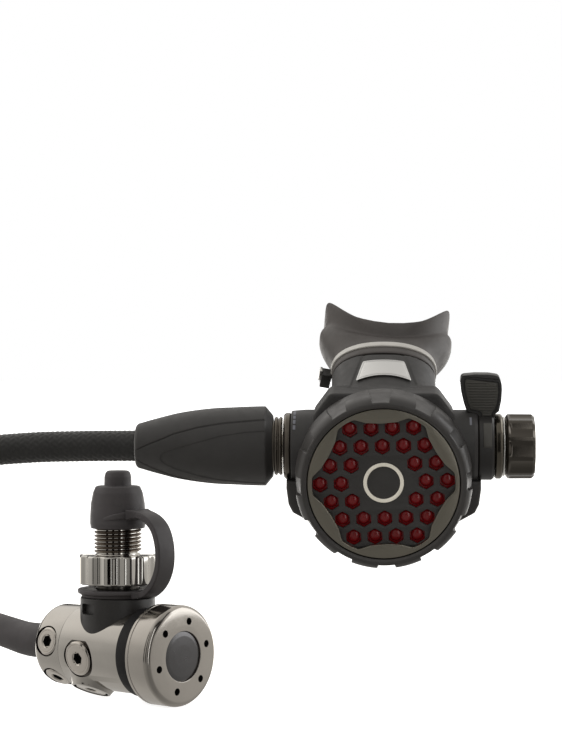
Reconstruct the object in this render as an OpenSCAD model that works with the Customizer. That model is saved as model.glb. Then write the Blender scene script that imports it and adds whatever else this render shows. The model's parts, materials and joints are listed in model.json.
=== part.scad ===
// Two-stage breathing regulator: a diaphragm first stage with a DIN hand wheel, one low-pressure
// hose and a balanced second stage. Millimetres, +Z up, standing on Z = 0.

/* [First stage] */
// Diameter of the pressure body
body_d = 40; // [39:0.5:41]
// Diameter of the rotating turret
turret_d = 39; // [38:0.5:40]
// Diameter of the end cap
cap_d = 47.5; // [46:0.5:49]
// Angle between the body axis and the view plane
body_yaw = 38; // [36:1:46]
// Number of adjusting-tool holes in the end cap
cap_holes = 6; // [4:1:8]

/* [DIN connector] */
// Outer diameter of the connector thread
din_d = 22.9; // [22.7:0.05:23]
// Diameter of the hand wheel
wheel_d = 37.3; // [36:0.5:39]
// Number of finger flutes in the hand wheel
wheel_flutes = 12; // [8:1:14]
// Largest diameter of the dust cap
dust_d = 26.6; // [26:0.2:28]

/* [Second stage] */
// Outer diameter of the cover ring
ring_d = 76; // [75:0.5:77]
// Grip notches in the cover ring
ring_notches = 12; // [8:1:16]
// Pitch of the honeycomb in the purge cover
hex_pitch = 9; // [8.8:0.1:9.2]
// Width across the flats of one honeycomb hole
hex_flat = 6.3; // [5.5:0.1:6.8]
// Width of the oval mouth tube
tube_w = 46.5; // [45:0.5:47]
// Height of the oval mouth tube
tube_h = 29; // [28:0.5:30]
// Angle of the mouth tube back from the valve's upright
tube_tilt = 66; // [62:1:70]
// Forward lean of the second stage about its valve axis
second_lean = 9.5; // [8:0.5:11]
// Diameter of the adjusting knob
knob_d = 27.4; // [26:0.2:28]

/* [Hose] */
// Outer diameter of the braided hose
hose_d = 13.5; // [12.5:0.1:14]

/* [Hidden] */
$fn = 64;

// Whole assembly is shifted so that its origin is the middle of its footprint.
off = [-59, 32.2, 0];
axis_h = cap_d / 2;              // height of the first stage's axis: it stands on its cap
s2 = [127, -90.5, 124];          // middle of the second stage's valve axis
cz = -10.5;                      // cover axis below the valve axis
br = body_d / 2;
tr = turret_d / 2;
cr = cap_d / 2;
dr = din_d / 2;
rr = ring_d / 2;
hr = hose_d / 2;

// Middle line of the hose from the first stage's boot to the second stage's boot.
route = [[-66, 52, 27.3], [-76, 60, 29], [-90, 70, 29], [-106, 80, 24], [-124, 89, 16], [-144, 96, 9], [-166, 100, 7],
  [-188, 98, 7], [-209, 91, 7], [-227, 78, 7], [-240, 60, 7], [-247, 39, 7], [-250, 17, 7], [-248, -6, 7], [-241, -28, 7],
  [-229, -48, 7], [-213, -65, 8], [-195, -78, 12], [-177, -86, 20], [-160, -90, 32], [-144, -90.5, 48], [-128, -90.5, 66],
  [-112, -90.5, 85], [-95, -90.5, 102], [-75, -90.5, 114], [-53, -90.5, 120.5], [-29, -90.5, 123], [-4, -90.5, 123.8], [23, -90.5, 124]];

// Frames: local X of the first stage runs along its body towards the cap; local X of the second
// stage runs along its valve from the hose to the knob.
module first() { translate(off) translate([0, 0, axis_h]) rotate([0, 0, -body_yaw]) children(); }
module second() { translate(off) translate(s2) rotate([second_lean, 0, 0]) children(); }
module cover() { second() translate([0, 0, cz]) rotate([90, 0, 0]) rotate([0, 0, 2]) children(); }
module mouth() { second() translate([0, 0, 8]) rotate([-tube_tilt, 0, 0]) children(); }

// Turned shape along X: points are [x, radius].
module turn_x(p) { rotate([0, 90, 0]) rotate_extrude() polygon([for (q = p) [q[1], q[0]]]); }
module xcyl(a, b, r) { translate([a, 0, 0]) rotate([0, 90, 0]) cylinder(h = b - a, r = r); }
module turn(p) { rotate_extrude() polygon(p); }

// Closed oval, slightly fuller than an ellipse.
function oval(w, h, n = 64, e = 2.25) = [for (i = [0:n - 1]) let (a = 360 * i / n, c = cos(a), s = sin(a))
  [w / 2 * sign(c) * pow(abs(c), 2 / e), h / 2 * sign(s) * pow(abs(s), 2 / e)]];

// Swept tube through a list of points, with n sides.
function unit(v) = v / norm(v);
module sweep(p, r, n) {
  m = len(p);
  t = [for (i = [0:m - 1]) unit(p[min(i + 1, m - 1)] - p[max(i - 1, 0)])];
  s = [for (i = [0:m - 1]) unit(cross(t[i], [0.05, 0.08, 1]))];
  pts = [for (i = [0:m - 1]) for (k = [0:n - 1])
    p[i] + r * (cos(360 * k / n) * s[i] + sin(360 * k / n) * cross(s[i], t[i]))];
  faces = concat([[for (k = [0:n - 1]) k]], [[for (k = [n - 1:-1:0]) (m - 1) * n + k]],
    [for (i = [0:m - 2]) for (k = [0:n - 1]) [i * n + k, (i + 1) * n + k, (i + 1) * n + (k + 1) % n]],
    [for (i = [0:m - 2]) for (k = [0:n - 1]) [i * n + k, (i + 1) * n + (k + 1) % n, i * n + (k + 1) % n]]);
  polyhedron(points = pts, faces = faces, convexity = 12);
}

// Coil spring of wire radius w standing on Z = 0, height h, mean radius r0 at the foot and r1 at the top.
module coil(r0, r1, w, h, turns) {
  n = 12 * turns;
  sweep([for (i = [0:n]) let (q = i / n, r = r0 + (r1 - r0) * q)
    [r * cos(360 * turns * q), r * sin(360 * turns * q), w + (h - 2 * w) * q]], w, 6);
}

// ---------- First stage ----------

// Socket plug standing on the Z axis with its head's top at z = t.
module plug(r, t, deep) {
  difference() {
    union() {
      turn([[0, t - deep], [r * 0.62, t - deep], [r * 0.62, t - 2.4], [r, t - 2.4], [r, t - 0.7], [r - 0.8, t], [0, t]]);
    }
    translate([0, 0, t - 3.5]) cylinder(h = 4, r = 2.9, $fn = 6);
  }
}
// Puts a child that stands on Z on the body's side: station x, turned a degrees from +Z towards -Y.
module on_body(x, a) { translate([x, 0, 0]) rotate([a, 0, 0]) children(); }
lp_at = [80, 143, 270, 215];
lp_x = -29.7;
hp_at = [[-7, 99], [-9.4, 156]];     // station and angle of the two high-pressure ports

module first_body() {
  color([0.56, 0.54, 0.52]) first() difference() {
    union() {
      turn_x([[-20.5, 0], [-20.5, br - 0.5], [-20, br], [20.5, br], [21, br - 0.4], [21, 19.2], [27.9, 19.2], [27.9, 21], [36.5, 21], [36.5, 0]]);
      on_body(hp_at[1][0], hp_at[1][1]) cylinder(h = 21.6, r = 9.5);
    }
    xcyl(21.5, 37, 17.6);                       // diaphragm chamber
    xcyl(-12, 22, 5.2);                         // poppet chamber
    xcyl(-21, -11, 3);                          // passage to the turret
    xcyl(-21, -15, 8.55);                       // turret bolt's seat
    translate([0, 0, 4]) cylinder(h = 20, r = 8.05);      // DIN bolt's thread
    on_body(hp_at[0][0], hp_at[0][1]) translate([0, 0, 18.2]) cylinder(h = 4, r = 9.4);   // high-pressure port faces
    on_body(hp_at[0][0], hp_at[0][1]) translate([0, 0, 9]) cylinder(h = 12, r = 5.3);
    on_body(hp_at[1][0], hp_at[1][1]) translate([0, 0, 19.2]) cylinder(h = 4, r = 8.6);
    on_body(hp_at[1][0], hp_at[1][1]) translate([0, 0, 9]) cylinder(h = 12, r = 5.3);
  }
}

module turret() {
  color([0.56, 0.54, 0.52]) first() difference() {
    turn_x([[-40, 0], [-40, 14.6], [-39.4, 15.9], [-37.2, tr - 1.2], [-35.2, tr - 0.2], [-34, tr], [-21.2, tr], [-20.7, tr - 0.5], [-20.7, 0]]);
    xcyl(-41, -32, 5.05);                       // hose port
    xcyl(-35, -20, 3.6);
    xcyl(-32.5, -20, 8.6);                      // spins on the turret bolt
    for (a = lp_at) on_body(lp_x, a) {
      translate([0, 0, 16.6]) cylinder(h = 6, r = 7.4);
      translate([0, 0, 9]) cylinder(h = 10, r = 4.4);
    }
  }
}

module turret_bolt() {
  color([0.75, 0.72, 0.62]) first() difference() {
    union() {
      xcyl(-32, -15.2, 8.5);
    }
    xcyl(-33, -15, 2.9);
    for (a = lp_at) on_body(lp_x, a) cylinder(h = 9, r = 1.8);
    turn_x([[-24.4, 7.6], [-24.4, 9], [-22.6, 9], [-22.6, 7.6]]);
  }
}

module low_pressure_plugs() { color([0.66, 0.63, 0.6]) first() for (a = lp_at) on_body(lp_x, a) plug(6.6, 19, 8.5); }
module high_pressure_plugs() {
  color([0.66, 0.63, 0.6]) first() {
    on_body(hp_at[0][0], hp_at[0][1]) plug(8.2, 20.7, 9.5);
    on_body(hp_at[1][0], hp_at[1][1]) plug(7.9, 21.7, 9.5);
  }
}

module band_ring() {
  color([0.12, 0.12, 0.12]) first() turn_x([[21.1, 19.3], [21.1, 20.3], [21.7, 20.9], [27.2, 20.9], [27.8, 20.4], [27.8, 19.3]]);
}

module end_cap() {
  color([0.6, 0.58, 0.55]) first() difference() {
    turn_x([[28, 21.1], [28, cr - 0.6], [28.6, cr], [38, cr], [40.5, cr - 1], [42.2, cr - 2.8], [43, cr - 5.4], [43, 0],
      [40, 0], [40, 12.5], [36.6, 12.5], [36.6, 21.1]]);
    for (i = [0:cap_holes - 1]) rotate([360 * i / cap_holes - 14, 0, 0]) translate([0, 0, 16.6]) xcyl(40.8, 44, 1.8);
    xcyl(39, 44, 11.8);
  }
}

module cap_disc() { color([0.2, 0.2, 0.21]) first() turn_x([[40.2, 0], [40.2, 11.7], [42.3, 11.7], [42.6, 11.2], [42.9, 6], [43, 0]]); }

module main_diaphragm() { color([0.1, 0.1, 0.1]) first() turn_x([[22, 0], [22, 6], [22.6, 8], [22, 11], [21.6, 13], [21.6, 17.5], [23, 17.5], [23, 13], [24, 8], [23.2, 6], [23.2, 0]]); }
module main_spring() { color([0.7, 0.7, 0.7]) first() translate([24.9, 0, 0]) rotate([0, 90, 0]) coil(8.6, 8.6, 1.1, 9.4, 2.5); }
module spring_screw() {
  color([0.75, 0.72, 0.62]) first() difference() {
    turn_x([[34.4, 0], [34.4, 12.4], [39.8, 12.4], [39.8, 0]]);
    translate([36.4, 0, 0]) rotate([0, 90, 0]) cylinder(h = 4, r = 5.8, $fn = 6);
  }
}
module thrust_pad() { color([0.75, 0.72, 0.62]) first() turn_x([[15.5, 0], [15.5, 1.2], [20.6, 1.2], [20.6, 5], [21.8, 5], [21.8, 0]]); }
module first_seat() { color([0.8, 0.78, 0.7]) first() difference() { turn_x([[8, 0], [8, 5.15], [12, 5.15], [12, 0]]); xcyl(7, 13, 1.9); } }
module first_poppet() { color([0.8, 0.8, 0.8]) first() turn_x([[-5.5, 0], [-5.5, 1.6], [3, 1.6], [3, 3.6], [7.6, 3.6], [7.9, 2.6], [7.9, 1.2], [15.3, 1.2], [15.3, 0]]); }
module balance_spring() { color([0.7, 0.7, 0.7]) first() translate([-5, 0, 0]) rotate([0, 90, 0]) coil(2.9, 2.9, 0.5, 7.2, 5); }

module saddle() {
  color([0.13, 0.13, 0.13]) first() difference() {
    union() {
      translate([0, 0, 5]) cylinder(h = 20.3, r = 17.9);
    }
    xcyl(-30, 30, br + 0.05);
    translate([0, 0, 4]) cylinder(h = 30, r = 9);
    for (a = [-100, 80]) rotate([0, 0, a]) translate([15.5, -4.6, 17.8]) cube([4, 9.2, 4.8]);
  }
}
module strap_ring() {
  color([0.16, 0.16, 0.17]) first() difference() {
    turn([[9, 25.4], [17, 25.4], [18, 26.2], [19, 27.4], [19.3, 28.2], [18.9, 29.2], [9, 29.2]]);
    translate([0, 0, 20]) cylinder(h = 12, r = 11);
  }
}
// Strap from the ring, out and up, to the dust cap's skirt.
strap_mid = [[18.4, 27.3], [21.5, 28.2], [25, 30.8], [28.2, 34.8], [30.4, 40], [31.1, 46], [30.4, 52.4], [28, 58.4], [24, 62.8], [19, 65], [13.7, 65]];
module cap_strap() {
  m = len(strap_mid);
  function nrm(i) = let (d = strap_mid[min(i + 1, m - 1)] - strap_mid[max(i - 1, 0)]) [-d[1], d[0]] / norm(d);
  color([0.2, 0.2, 0.21]) first() difference() {
    rotate([90, 0, 0]) translate([0, 0, -5.5]) linear_extrude(11)
      polygon(concat([for (i = [0:m - 1]) strap_mid[i] + 1.5 * nrm(i)], [for (i = [m - 1:-1:0]) strap_mid[i] - 1.5 * nrm(i)]));
    translate([0, 0, 24]) cylinder(h = 5.4, r = 19.35);
    translate([0, 0, 55]) cylinder(h = 20, r = 13.3);
  }
}
module dust_cap() {
  color([0.2, 0.2, 0.21]) first() turn([[11.6, 58], [12.9, 58], [13.25, 59], [dust_d / 2, 63], [12.9, 70], [11.7, 76], [10.4, 77.8], [6.9, 78.2],
    [6.6, 79], [6.6, 82.5], [5.6, 84.6], [3, 85.4], [0, 85.5], [0, 74], [9, 74], [9, 70.5], [11.6, 70.5]]);
}

module din_wheel() {
  wr = wheel_d / 2;
  color([0.62, 0.6, 0.58]) first() difference() {
    union() {
      turn([[8.05, 31.4], [wr - 1.4, 31.4], [wr - 0.4, 32], [wr, 33.2], [wr, 43.8], [wr - 0.5, 44.9], [wr - 1.5, 45.4], [8.05, 45.4]]);
      // Threaded shank: relief, full thread, and a slightly smaller lead-in.
      turn([[8.05, 45], [dr - 1.05, 45], [dr - 1.05, 46.3], [dr, 46.3], [dr, 57.5], [dr - 0.5, 57.5], [dr - 0.5, 67], [8.05, 67]]);
    }
    for (i = [0:wheel_flutes - 1]) rotate([0, 0, 360 * (i + 0.5) / wheel_flutes])
      translate([wr + 1.9, 0, 28]) cylinder(h = 20, r = 3.4);
    translate([0, 0, 62]) cylinder(h = 6, r = 9.6);
    translate([0, 0, 31]) cylinder(h = 3.1, r = 10.6);
  }
}
module din_bolt() {
  color([0.66, 0.64, 0.6]) first() difference() {
    turn([[3.4, 10], [8, 10], [8, 25.4], [10.4, 25.4], [10.4, 33.9], [8, 33.9], [8, 62.3], [9.4, 62.3], [9.4, 66.2], [8.8, 69.4],
      [8.1, 69.4], [8.1, 67.8], [6.1, 67.8], [6.1, 69.4], [4.6, 69.4], [4.6, 55], [3.4, 55]]);
    translate([0, 0, 58]) cylinder(h = 12, r = 4.6);
  }
}
module din_filter() { color([0.6, 0.5, 0.3]) first() turn([[0, 55.1], [2.6, 55.1], [4.5, 64], [4.5, 66.2], [0, 66.2]]); }
module filter_clip() { color([0.7, 0.7, 0.7]) first() turn([[3.6, 66.4], [4.55, 66.4], [4.55, 67.4], [3.6, 67.4]]); }
module din_oring() { color([0.08, 0.08, 0.08]) first() translate([0, 0, 68.8]) rotate_extrude() translate([7.1, 0]) circle(r = 0.98); }

// ---------- Hose ----------

module first_stem() {
  color([0.6, 0.58, 0.55]) first() difference() {
    turn_x([[-34, 2.4], [-34, 5], [-40.1, 5], [-40.1, 6.6], [-46, 6.6], [-46, 5.6], [-62, 5.6], [-62, 2.4]]);
  }
}
// Rubber protector: straight over the fitting, then bent a little upwards with the hose.
boot_x = -63;
module first_boot() {
  color([0.2, 0.2, 0.21]) first() {
    turn_x([[-40.3, 6.7], [-40.3, 8.2], [-41, 8.7], [boot_x, 8.4], [boot_x, 5.7], [-46.1, 5.7], [-46.1, 6.7]]);
    translate([boot_x, 0, 0]) rotate([0, 9, 0]) turn_x([[1.5, 6.9], [1.5, 8], [-25.4, 7.7], [-26, 7.4], [-26, 6.9]]);
  }
}
module lp_hose() { color([0.1, 0.1, 0.1]) translate(off) sweep(route, hr, 10); }
module hose_nut() {
  color([0.45, 0.42, 0.38]) second() turn_x([[-43.8, 5.1], [-43.8, 12], [-44.4, 12.7], [-45.2, 12.7], [-45.4, 12.1], [-45.9, 12.1], [-46.1, 12.7], [-46.9, 12.7],
    [-47.1, 12.3], [-47.4, 12.3], [-47.4, 11], [-60, 11], [-60, 5.1]]);
}
module hose_stem() {
  color([0.6, 0.58, 0.55]) second() turn_x([[-37.5, 2.4], [-37.5, 5], [-60, 5], [-60, 6.4], [-66, 6.4], [-66, 5.6], [-102, 5.6], [-102, 2.4]]);
}
module second_boot() {
  color([0.13, 0.13, 0.14]) second() turn_x([[-47.5, 11.1], [-47.5, 13.2], [-51.4, 17.3], [-65.5, 16.8], [-78.5, 16], [-84.5, 15.2], [-90.6, 14.1], [-96, 12.7], [-100.7, 11.5], [-106, 9.9], [-107.6, 9], [-108.1, 7.9], [-108.1, 6.6],
    [-102.1, 6.6], [-102.1, 5.7], [-66.1, 5.7], [-66.1, 6.5], [-60.1, 6.5], [-60.1, 11.1]]);
}

// ---------- Second stage ----------

module second_case() {
  color([0.14, 0.14, 0.145]) {
   for (s = [-1, 1]) exhaust_at(s) exhaust_hub();
   difference() {
    union() {
      cover() turn([[0, -13], [20, -13], [28, -9], [33, -2], [35.8, 6], [36.6, 12], [36.6, 13.8], [34.5, 13.8], [34.5, 22], [0, 22]]);
      second() xcyl(-40, 40.4, 15);
      second() rotate([90, 0, 0]) translate([0, 0, -13]) linear_extrude(26) polygon([[-19, 20], [-25, 11.5], [-25, -4], [25, -4], [25, 11.5], [19, 20]]);
      mouth() linear_extrude(38) polygon(oval(tube_w, tube_h));
      mouth() linear_extrude(50) polygon(oval(tube_w - 4.4, tube_h - 4.4));
      for (s = [-1, 1]) exhaust_at(s) translate([0, 0, 30]) cylinder(h = 7, r = 5.4);
    }
    cover() turn([[0, -9.5], [18, -9.5], [26, -6], [30, 1], [31, 8], [31, 18.9], [32.5, 18.9], [32.5, 23], [0, 23]]);
    mouth() translate([0, 0, 4]) linear_extrude(60) polygon(oval(tube_w - 8, tube_h - 8));
    second() xcyl(-41, 41, 8);
    second() xcyl(12, 41, 11.2);
    for (s = [-1, 1]) exhaust_at(s) translate([0, 0, 26]) cylinder(h = 12, r = 4.3);
    cover() turn([[34.52, 13.9], [36.7, 13.9], [36.7, 10.9], [38.3, 10.9], [38.3, 24], [34.52, 24]]);   // seat of the cover ring
   }
  }
}
// Exhaust ports: s is the side, local Z runs out of the case.
module exhaust_at(s) { second() translate([0, 2, cz]) rotate([0, s * 110, 0]) children(); }
module exhaust_hub() {
  difference() {
    translate([0, 0, 35]) { cylinder(h = 2, r = 2.8); translate([-5, -0.7, 0]) cube([10, 1.4, 2]); translate([-0.7, -5, 0]) cube([1.4, 10, 2]); }
    translate([0, 0, 34]) cylinder(h = 4, r = 1.95);
  }
}
module inlet_ring() { color([0.45, 0.42, 0.38]) second() turn_x([[-40.1, 8], [-40.1, 14.3], [-40.6, 14.5], [-42.7, 14.5], [-43.3, 13.9], [-43.3, 8]]); }
module valve_tube() {
  color([0.75, 0.72, 0.62]) second() difference() {
    turn_x([[-43.4, 5.06], [-43.4, 7.95], [51.2, 7.95], [51.2, 5.5], [-34, 5.5], [-34, 5.06]]);
    translate([4, -9, -5.9]) cube([16, 8, 11.8]);
    translate([-12, 1, -4]) cube([14, 9, 8]);
  }
}
module orifice_seat() { color([0.8, 0.78, 0.7]) second() turn_x([[-33.5, 2], [-33.5, 5.4], [-21, 5.4], [-21, 3.4], [-18, 2.6], [-18, 2]]); }
module demand_poppet() { color([0.85, 0.85, 0.85]) second() turn_x([[-17.9, 0], [-17.9, 3.6], [-15, 3.6], [-15, 4.6], [5, 4.6], [5, 2.8], [13.4, 2.8], [13.4, 4.8], [16.4, 4.8], [16.4, 2], [23, 2], [23, 0]]); }
module poppet_spring() { color([0.7, 0.7, 0.7]) second() translate([16.5, 0, 0]) rotate([0, 90, 0]) coil(3.7, 3.7, 0.6, 19.2, 8); }
module demand_lever() {
  color([0.75, 0.75, 0.75]) second() {
    difference() {
      translate([0, 0, -5]) linear_extrude(10) polygon([[12.8, -10], [4, -12.6], [-2, -16.2], [-2.4, -17.1], [4, -13.6], [13.2, -11]]);
      translate([5.5, -20, -2.5]) cube([5, 12, 5]);
    }
    translate([0, 0, -14]) linear_extrude(9.2) polygon([[3.2, -13], [-2, -16.2], [-2.4, -17.1], [3.2, -14]]);
    for (z = [-5, 3.6]) translate([0, 0, z]) linear_extrude(1.4) polygon([[11.2, -10.6], [12.9, -10.6], [12.9, -3.2], [11.2, -3.2]]);
    translate([12.05, -8.4, -5.4]) cylinder(h = 10.8, r = 1);   // pivot pin
  }
}
module adjust_screw() { color([0.75, 0.72, 0.62]) second() turn_x([[35.9, 0], [35.9, 5.35], [46, 5.35], [46, 3], [60, 3], [60, 0]]); }
module adjust_knob() {
  kr = knob_d / 2;
  color([0.3, 0.29, 0.28]) second() difference() {
    turn_x([[52.3, 3.1], [52.3, kr - 1.2], [53.2, kr], [63.4, kr], [65, kr - 1], [65.5, kr - 2.2], [65.5, 0], [62, 0], [62, 3.1]]);
    for (i = [0:9]) rotate([36 * i, 0, 0]) translate([51, 0, kr + 3.1]) rotate([0, 90, 0]) cylinder(h = 13, r = 4.2);
  }
}
module knob_ring() { color([0.42, 0.38, 0.33]) second() turn_x([[47.9, 8], [47.9, 13.4], [48.4, 13.9], [50.9, 13.9], [51.3, 13.5], [51.3, 8]]); }
module knob_washer() { color([0.75, 0.74, 0.72]) second() turn_x([[51.4, 3.2], [51.4, 13], [52.1, 13], [52.1, 3.2]]); }
module venturi_lever() {
  color([0.15, 0.15, 0.155]) second() {
    difference() {
      union() {
        xcyl(40.6, 47.7, 14.5);
        translate([0, 2.5, 0]) rotate([90, 0, 0]) linear_extrude(6.5) polygon([[32.4, 31], [33.4, 32], [49.4, 32], [50.2, 31], [50, 26], [48.2, 18], [47.6, 10], [40.7, 10], [40.7, 15.6], [36, 18.6], [33.2, 24]]);
      }
      xcyl(40, 48, 8);
      for (k = [0:9]) translate([34.5, -4.6, 19.6 + 1.25 * k]) cube([13.4 + 0.05 * k, 1.2, 0.6]);
    }
  }
}
module venturi_vane() {
  color([0.85, 0.85, 0.85]) second() difference() {
    turn_x([[14, 9.6], [14, 10.85], [40.5, 10.85], [40.5, 8.05], [34, 8.05], [34, 9.6]]);
    translate([13, -12, -12]) cube([13, 14, 24]);
    translate([13, -12, -12]) cube([13, 24, 10]);
  }
}
module diaphragm() { color([0.75, 0.75, 0.72]) cover() turn([[13, 18.4], [18, 18.4], [20, 17.6], [23, 17.6], [25, 18.9], [32.4, 19], [32.4, 20.4], [30, 20.4], [28, 19.8], [25, 19.7], [22.6, 18.4], [20.4, 18.4], [18, 19.2], [13, 19.2]]); }
module diaphragm_disc() { color([0.8, 0.8, 0.8]) cover() turn([[0, 17.5], [15, 17.5], [15, 18.3], [12.8, 18.3], [12.8, 19.3], [0, 19.3]]); }
module purge_spring() { color([0.7, 0.7, 0.7]) cover() translate([0, 0, 19.4]) coil(11, 9.4, 0.45, 3.6, 2); }

// Honeycomb positions: rings 2 and 3 of a pointy-top lattice.
hexes = [for (q = [-3:3]) for (r = [-3:3]) if (abs(q + r) <= 3 && max(abs(q), abs(r), abs(q + r)) >= 2) [hex_pitch * (q + r / 2), hex_pitch * r * sqrt(3) / 2]];
module inner_cover() {
  color([0.5, 0.06, 0.07]) cover() difference() {
    union() {
      translate([0, 0, 23]) cylinder(h = 1.1, r = 31);
      turn([[0, 19.6], [8, 19.6], [8.4, 23.1], [0, 23.1]]);
      for (h = hexes) translate([h[0], h[1], 23.9]) cylinder(h = 0.9, r = 2.1);
    }
    for (a = [0:30:359]) rotate([0, 0, a + 15]) translate([29, 0, 22]) cylinder(h = 4, r = 1);
  }
}
module purge_cover() {
  color([0.1, 0.1, 0.1]) cover() difference() {
    union() {
      translate([0, 0, 24.9]) cylinder(h = 1.9, r = 31.6);
    }
    for (h = hexes) translate([h[0], h[1], 24]) rotate([0, 0, 30]) cylinder(h = 4, r = hex_flat / sqrt(3), $fn = 6);
    translate([0, 0, 26.4]) cylinder(h = 1, r = 8.9);
  }
}
module cover_emblem() {
  color([0.85, 0.82, 0.74]) cover() difference() {
    translate([0, 0, 26.4]) cylinder(h = 0.7, r = 8.6);
    translate([0, 0, 26]) cylinder(h = 2, r = 7);
  }
}
module trim_ring() {
  // Inner edge: six broad teeth, with slanted flanks.
  function wave(a) = let (u = abs(((a + 360) % 60) - 30)) 25.9 + 4.4 * max(0, min(1, (u - 13) / 9.5));
  color([0.42, 0.39, 0.34]) cover() difference() {
    turn([[20, 27.6], [32.4, 27.6], [32.4, 29.2], [31.6, 29.8], [20, 29.8]]);
    translate([0, 0, 27]) linear_extrude(4) polygon([for (i = [0:119]) wave(3 * i) * [cos(3 * i), sin(3 * i)]]);
  }
}
module cover_ring() {
  color([0.13, 0.13, 0.135]) cover() difference() {
    turn([[34.6, 14], [36.75, 14], [36.75, 11], [rr - 0.8, 11], [rr, 12.2], [rr, 24], [rr - 0.9, 28.4], [rr - 2.4, 30.6], [33.8, 31], [32.6, 30.2], [32.6, 22.2], [34.6, 22.2]]);
    for (i = [0:ring_notches - 1]) rotate([0, 0, 360 * i / ring_notches]) translate([rr - 2, -5, 18]) cube([5, 10, 9.4]);
  }
}
module exhaust_valves() {
  color([0.3, 0.3, 0.3]) for (s = [-1, 1]) exhaust_at(s) turn([[0, 34], [1.9, 34], [1.9, 37.05], [5.6, 37.05], [5.6, 37.7], [0, 38.3]]);
}
module exhaust_covers() {
  ear = [[-42, -13], [-42, -16], [-41, -24], [-39.4, -27.4], [-33, -31], [-22, -38.5], [-14, -42], [-14, -13]];
  color([0.15, 0.15, 0.155]) difference() {
    second() for (s = [0, 1]) mirror([s, 0, 0]) difference() {
      translate([0, 15, 0]) rotate([90, 0, 0]) linear_extrude(25) polygon(ear);
      translate([-39.6, -7.5, -40]) cube([22, 20, 22.5]);
      translate([-39.6, 9, -30]) cube([22, 10, 9]);
      translate([-35.8, -1.4, -18]) cube([7, 8.4, 2.1]);   // room for the valve seat's upper edge
    }
    second() xcyl(-43, 43, 15.1);
    cover() turn([[0, -13.1], [20.1, -13.1], [28.1, -9.1], [33.1, -2], [35.9, 6], [36.7, 12], [36.7, 16], [0, 16]]);
  }
}
module name_plate() {
  color([0.72, 0.72, 0.71]) mouth() difference() {
    intersection() {
      translate([0, 0, 17]) linear_extrude(14.4) polygon(oval(tube_w + 1, tube_h + 1));
      rotate([90, 0, 0]) linear_extrude(20) polygon([[-12.2, 17], [12.2, 17], [9.2, 31.4], [-9.2, 31.4]]);
    }
    translate([0, 0, 10]) linear_extrude(30) polygon(oval(tube_w + 0.04, tube_h + 0.04));
  }
}
module mouthpiece() {
  color([0.24, 0.24, 0.25]) mouth() difference() {
    union() {
      translate([0, 0, 38.2]) linear_extrude(10) polygon(oval(tube_w - 0.4, tube_h - 0.4));
      hull() {
        translate([0, 0, 47]) linear_extrude(0.1) polygon(oval(tube_w - 0.4, tube_h - 0.4, 32));
        translate([0, 0, 57]) linear_extrude(1) polygon(oval(54, 31, 32));
      }
      // Lip flange, bent round the teeth.
      rotate([90, 0, 0]) translate([0, 0, -17]) linear_extrude(34) polygon(concat(
        [for (i = [-8:8]) [3.75 * i, 58.5 + 17 * pow(abs(i) / 8, 2.2)]], [for (i = [8:-1:-8]) [3.6 * i, 55 + 17 * pow(abs(i) / 8, 2.2)]]));
      for (s = [-1, 1]) translate([s * 20 - 4, -4, 58]) cube([8, 8, 25]);
    }
    translate([0, 0, 30]) linear_extrude(20.1) polygon(oval(tube_w - 4.3, tube_h - 4.3));
    translate([0, 0, 40]) linear_extrude(50) polygon(oval(31, 17));
    for (s = [-1, 1]) mirror([s < 0 ? 1 : 0, 0, 0]) translate([24.5, -20, 60]) cube([20, 5, 30]);
  }
}
module mouthpiece_tie() {
  color([0.8, 0.8, 0.78]) mouth() difference() {
    translate([0, 0, 43]) linear_extrude(3.2) polygon(oval(tube_w + 1, tube_h + 1));
    translate([0, 0, 42]) linear_extrude(6) polygon(oval(tube_w - 0.3, tube_h - 0.3));
  }
}
module tie_buckle() { color([0.08, 0.08, 0.08]) mouth() translate([-28.4, 0.2, 41.6]) cube([4.4, 7, 5.8]); }

first_body();
turret();
turret_bolt();
low_pressure_plugs();
high_pressure_plugs();
band_ring();
end_cap();
cap_disc();
main_diaphragm();
main_spring();
spring_screw();
thrust_pad();
first_seat();
first_poppet();
balance_spring();
saddle();
strap_ring();
cap_strap();
dust_cap();
din_wheel();
din_bolt();
din_filter();
filter_clip();
din_oring();
first_stem();
first_boot();
lp_hose();
second_boot();
hose_stem();
hose_nut();
second_case();
inlet_ring();
valve_tube();
orifice_seat();
demand_poppet();
poppet_spring();
demand_lever();
adjust_screw();
adjust_knob();
knob_ring();
knob_washer();
venturi_lever();
venturi_vane();
diaphragm();
diaphragm_disc();
purge_spring();
inner_cover();
purge_cover();
cover_emblem();
trim_ring();
cover_ring();
exhaust_valves();
exhaust_covers();
name_plate();
mouthpiece();
mouthpiece_tie();
tie_buckle();
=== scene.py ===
import bpy, bmesh, math, json
from mathutils import Vector, Matrix, noise


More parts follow.
